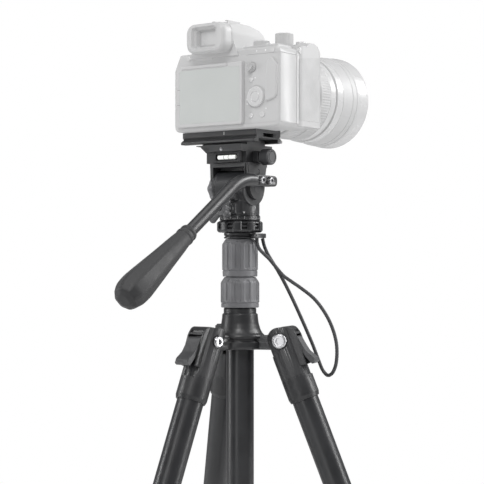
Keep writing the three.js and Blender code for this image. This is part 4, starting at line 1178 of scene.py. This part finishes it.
def make_dials():
    low = BODY_TOP + 0.3
    mode = shift(knurled(9, low, low + 13, 36, 0.3), 50, 6)
    piece(mode, "mode_dial_shape", "mode_dial", PALE, "mode_dial", 0)
    marks = [shift(turn(block(5.0, 6.3, -0.25, 0.25, low + 12.55, low + 12.72), math.pi * k / 4), 50, 6)
             for k in range(8)]
    piece(join(*marks), "mode_dial_marks", "mode_dial", PALE_LIGHT, (), 0)
    rear = shift(knurled(8, low, low + 5, 40, 0.3, 0.3), 34, -10)
    piece(rear, "rear_dial_shape", "rear_dial", PALE, "rear_dial", 0)
    shutter = turned(soften([(0, 291.2), (5, 291.2), (5, 294.8), (4.4, 295.8), (2.6, 295.4),
                             (0, 295.2)], 0.5, 4), "Z", (57, 24.5, 0), 72)
    piece(shutter, "shutter_button_shape", "shutter_button", PALE_GLOSS, "shutter_button", 0)
    rear_face = BODY_REAR - 0.3
    stick = turned(soften([(0, rear_face), (4.4, rear_face), (4.4, rear_face - 1.4), (2.2, rear_face - 2),
                           (2.2, rear_face - 3.4), (3.6, rear_face - 4.2), (3.2, rear_face - 5.2),
                           (2.2, rear_face - 4.7), (0, rear_face - 4.6)], 0.3), "Y", (36, 0, 267), 72,
                   lambda r, z, angle: r - (0.12 * (0.5 + 0.5 * math.cos(18 * angle)) if r > 3 else 0))
    piece(stick, "joystick_shape", "joystick", PALE_SHADE, "joystick", 0)

    def wheel_teeth(r, z, angle):
        return r - 0.22 * (0.5 + 0.5 * math.tanh(3 * math.cos(48 * angle))) if r > 9.6 else r

    wheel = turned([(0, rear_face), *soften([
        (0, rear_face), (10, rear_face), (10, rear_face - 1.6), (9.2, rear_face - 2.6),
        (5.6, rear_face - 2.4), (5.3, rear_face - 1.7), (4.8, rear_face - 1.7), (4.4, rear_face - 2.5),
        (0, rear_face - 2.6),
    ], 0.35, 3)[1:]], "Y", (41, 0, 238), 384, wheel_teeth)
    piece(wheel, "control_wheel_shape", "control_wheel", PALE_GLOSS, "control_wheel", 0)


def make_screen():
    x0, x1 = SCREEN_X
    z0, z1 = SCREEN_HEIGHT
    frame = bevel(prism(rectangle(x0 + 2, x1, z0, z1, 2.5), -33.2, -28.4, "Y"), 0.5, 3)
    lip = block(x0 + 8, x1 - 18, -34.2, -29.4, z1 - 3, z1, 0.7, 3)
    hinge = rod(2.4, z0 + 18, z0 + 42, at=(x0 + 2.4, -31, 0), edge=0.4)
    window = prism(rectangle(x0 + 5, x1 - 3, z0 + 3, z1 - 4, 1.6), -34, -32.85, "Y")
    notches = [block(x0 - 1, x0 + 5, -34, -27, z0 + h, z0 + h + 0.6) for h in (22, 37.4)]
    frame = cut(join(frame, lip, hinge), window, *notches)
    piece(frame, "screen_frame", "screen", PALE, "screen_panel", 0.15)
    pane = rectangle(x0 + 5.15, x1 - 3.15, z0 + 3.15, z1 - 4.15, 1.5)
    glass = bevel(prism(pane, -33.25, -32.7, "Y"), 0.12, 2)
    piece(glass, "screen_glass_pane", "screen", SCREEN, (), 0)


def rounded_rings(x0, x1, z0, z1, r, levels):
    """A body through inset copies of a rounded rectangle: levels are (inset, y)."""
    sections = []
    for inset, y in levels:
        ring = rectangle(x0 + inset, x1 - inset, z0 + inset, z1 - inset, max(0.6, r - inset), 10)
        sections.append([Vector((x, y, z)) for x, z in ring])
    return loft(sections)


def make_eyecup():
    x0, x1, z0, z1 = LENS_X - 23.5, LENS_X + 25, 283, 312.5
    levels = [(1.2, -30.4), (0.3, -31.4), (0, -33), (0, -41), (0.5, -43.4), (1.8, -45.2), (3.6, -46),
              (5.4, -45.7)]
    rim = rounded_rings(x0, x1, z0, z1, 11, levels)
    recess = rounded_rings(LENS_X - 16.5, LENS_X + 16.5, 286.2, 309.4, 6,
                           [(0, -48), (0.6, -45.6), (1.9, -42.4)])
    opening = rounded_rings(LENS_X - 12, LENS_X + 12, 289.2, 306.8, 3, [(0, -48), (0, -42.4), (0.8, -37)])
    groove = rounded_rings(x0 - 2, x1 + 2, z0 - 2, z1 + 2, 13, [(0, -33.6), (0, -33)])
    core = rounded_rings(x0 + 0.5, x1 - 0.5, z0 + 0.5, z1 - 0.5, 10.5, [(0, -35), (0, -31.4)])
    rim = cut(rim, recess, opening, cut(groove, core))
    piece(rim, "eyecup_shape", "camera", PALE, "eyecup", 0.2, 2, 50)
    frame = cut(rounded_rings(LENS_X - 12.4, LENS_X + 12.4, 288.8, 307.2, 3, [(0.3, -38.6), (0, -36.2)]),
                rounded_rings(LENS_X - 9.6, LENS_X + 9.6, 291.4, 304.4, 1.5, [(0, -40), (0, -35)]))
    piece(frame, "eyepiece_frame", "camera", PALE_SHADE, (), 0.2)
    pane = rounded_rings(LENS_X - 9.9, LENS_X + 9.9, 291.1, 304.7, 1.6,
                         [(0.3, -37.6), (0, -37.2), (0, -36.4)])
    piece(pane, "eyepiece_window", "camera", PALE_GLOSS, (), 0)


make_camera_body()
make_grip_skin()
make_buttons()
make_dials()
make_screen()
make_eyecup()


# ----------------------------------------------------------------------- lens

def lens_part(profile, name, body, material, stands_for=(), count=192, shape=None):
    part = turned([*profile, profile[0]], "Y", LENS_AT, count, shape)
    piece(part, name, body, material, stands_for, 0, sharp=30)


def ribbed(low, high, ribs, depth, r_floor):
    """Raised lengthways ribs between two distances along the lens, on rows wider than r_floor."""
    def shape(r, y, angle):
        if r < r_floor or not low < y < high:
            return r
        return r - depth * (0.5 + 0.5 * math.tanh(4 * math.cos(ribs * angle)))
    return shape


def make_lens():
    lens_part(soften([
        (21, 22), (30, 22), (33, 26), (40, 44), (42.4, 50), (42.4, 54.6), (41.9, 55), (41.9, 55.8),
        (42.4, 56.2), (42.4, 66), (39.4, 66.4), (39.4, 124), (43.6, 124.4), (43.6, 133), (42.8, 134),
        (37, 134), (37, 132.4), (37.4, 132), (37.4, 119), (30, 112),
    ], 0.5, 3, closed=True), "lens_barrel_shape", "camera", PALE, "lens_barrel")
    steps = [(44.0, 68 + 25 * k / 10) for k in range(11)]
    lens_part([(39.8, 66.8), (43.2, 66.8), *steps, (43.2, 94.2), (39.8, 94.2)],
              "zoom_ring_shape", "zoom_ring", PALE_GRIP, "zoom_ring", 720,
              ribbed(70, 91, 72, 0.5, 43.9))
    lens_part([(39.8, 95), *soften([(39.8, 95), (43.4, 95), (44.2, 96.2), (44.2, 97.4)], 0.3)[1:],
               (44.2, 98.6), (44.2, 111.4), (44.2, 112.4), (44.2, 112.7), (43.7, 113.1), (39.8, 113.1)],
              "focus_ring_grip", "focus_ring", PALE_GRIP, "focus_ring", 960,
              ribbed(98, 112, 96, 0.3, 44.1))
    lens_part(soften([(39.8, 113.1), (43.7, 113.1), (44.3, 113.5), (44.3, 114.5), (44.0, 114.9),
                      (44.0, 122.8), (43.4, 123.8), (39.8, 123.8)], 0.3, 3, closed=True),
              "focus_ring_band", "focus_ring", PALE_GLOSS)
    lens_part(soften([(44.0, 124.3), (45.2, 124.3), (45.5, 124.7), (46.0, 134.0), (45.5, 134.3),
                      (44.0, 134.3)], 0.2, 3, closed=True),
              "hood_collar", "lens_hood", PALE_GLOSS)
    lens_part([(40, 134.3), (45.5, 134.3), (45.9, 134.7), (46.2, 140), *soften([
        (46.2, 140), (47.0, 150.4), (47.5, 150.8), (47.6, 151.9), (47.2, 152.3), (47.5, 157.6), (48.0, 158.0),
        (48.1, 159.1), (47.7, 159.5), (47.85, 161.4)], 0.25, 3)[1:], (46.2, 161.4), (44.4, 142), (40, 138)],
              "hood_middle", "lens_hood", PALE, "lens_hood")
    lens_part([(46.2, 161.4), (47.85, 161.4), *soften([
        (47.85, 161.4), (49, 174), (49, 178), (47.4, 178)], 0.4, 3)[1:-1], (47.4, 178)],
              "hood_rim", "lens_hood", PALE_GLOSS)
    edge = math.radians(40)
    glass = [(0, 119), (36.6, 119), (36.6, 123)]
    glass += [(36.6 * math.sin(a) / math.sin(edge),
               123 + 7 * (math.cos(a) - math.cos(edge)) / (1 - math.cos(edge)))
              for a in (math.radians(degrees) for degrees in range(38, 0, -2))]
    glass.append((0, 130))
    front = turned(glass, "Y", LENS_AT, 144)
    piece(front, "front_lens_shape", "camera", LENS_GLASS, "front_lens", 0, sharp=50)
    # A dark cone behind the front glass: painted shade for the lens's shadowed inside.
    inner_shade = turned([(0, 112), (30, 112), (36.4, 118.4), (36.4, 118.9), (29, 114), (14, 113), (0, 112.8)],
                     "Y", LENS_AT, 96)
    piece(inner_shade, "lens_painted_shade", "camera", PALE_SHADE, (), 0)


make_lens()


# ----------------------------------------------------------- stage and lights

BACKDROP = 0.9  # how far the floor reaches before it has faded into the background


def make_floor():
    """A pale floor that fades to plain white away from the feet, where the camera sees it."""
    bpy.ops.mesh.primitive_circle_add(vertices=96, radius=BACKDROP * 4, fill_type="NGON",
                                      location=row(0, 0, FLOOR - 1))
    floor = bpy.context.object
    floor.name = "floor"
    material, nodes, links, bsdf = shader("floor_paint")
    set_inputs(bsdf, Base_Color=(0.86, 0.86, 0.86, 1), Roughness=0.8)
    coords = nodes.new("ShaderNodeTexCoord")
    away = nodes.new("ShaderNodeVectorMath")
    away.operation = "LENGTH"
    links.new(coords.outputs["Object"], away.inputs[0])
    fade = remap(nodes, links, away.outputs["Value"], 0, 1, BACKDROP * 0.4, BACKDROP)
    path = nodes.new("ShaderNodeLightPath")
    seen = nodes.new("ShaderNodeMath")
    seen.operation = "MULTIPLY"
    links.new(fade, seen.inputs[0])
    links.new(path.outputs["Is Camera Ray"], seen.inputs[1])
    white = nodes.new("ShaderNodeEmission")
    blend(nodes, links, seen.outputs["Value"], bsdf.outputs["BSDF"], white.outputs["Emission"],
          "Material Output")
    floor.data.materials.append(material)


def make_world():
    """White where the camera looks straight at it, and softer as a light."""
    world = bpy.data.worlds.new("studio")
    bpy.context.scene.world = world
    world.use_nodes = True
    nodes, links = world.node_tree.nodes, world.node_tree.links
    light = set_inputs(nodes["Background"], Color=(0.24, 0.24, 0.243, 1))
    seen = set_inputs(nodes.new("ShaderNodeBackground"), Color=(1, 1, 1, 1))
    path = nodes.new("ShaderNodeLightPath")
    blend(nodes, links, path.outputs["Is Camera Ray"], light.outputs["Background"],
          seen.outputs["Background"], "World Output")


def softbox(name, azimuth, elevation, distance, size, power):
    """An area light on a sphere about the head, facing it."""
    target = row(0, 0, 190)
    a, e = math.radians(azimuth), math.radians(elevation)
    away = Vector((math.sin(a) * math.cos(e), -math.cos(a) * math.cos(e), math.sin(e)))
    data = bpy.data.lights.new(name, "AREA")
    data.shape = "RECTANGLE"
    data.size, data.size_y = size
    data.energy = power
    light = bpy.data.objects.new(name, data)
    light.location = target + away * distance
    light.rotation_euler = away.to_track_quat("Z", "Y").to_euler()
    bpy.context.scene.collection.objects.link(light)


make_floor()
make_world()
bpy.context.scene.view_settings.view_transform = "Standard"
softbox("key", 25, 40, 1.6, (0.55, 0.55), 17)
softbox("strip_right", 122, 12, 1.3, (0.22, 1.5), 13)
softbox("strip_left", -58, 8, 1.5, (0.2, 1.4), 10)
softbox("lens_band", 143, 26, 1.4, (0.4, 0.4), 10)
softbox("front", 8, 6, 1.5, (0.3, 1.3), 4)
softbox("top", 20, 82, 1.3, (1.0, 1.0), 8)
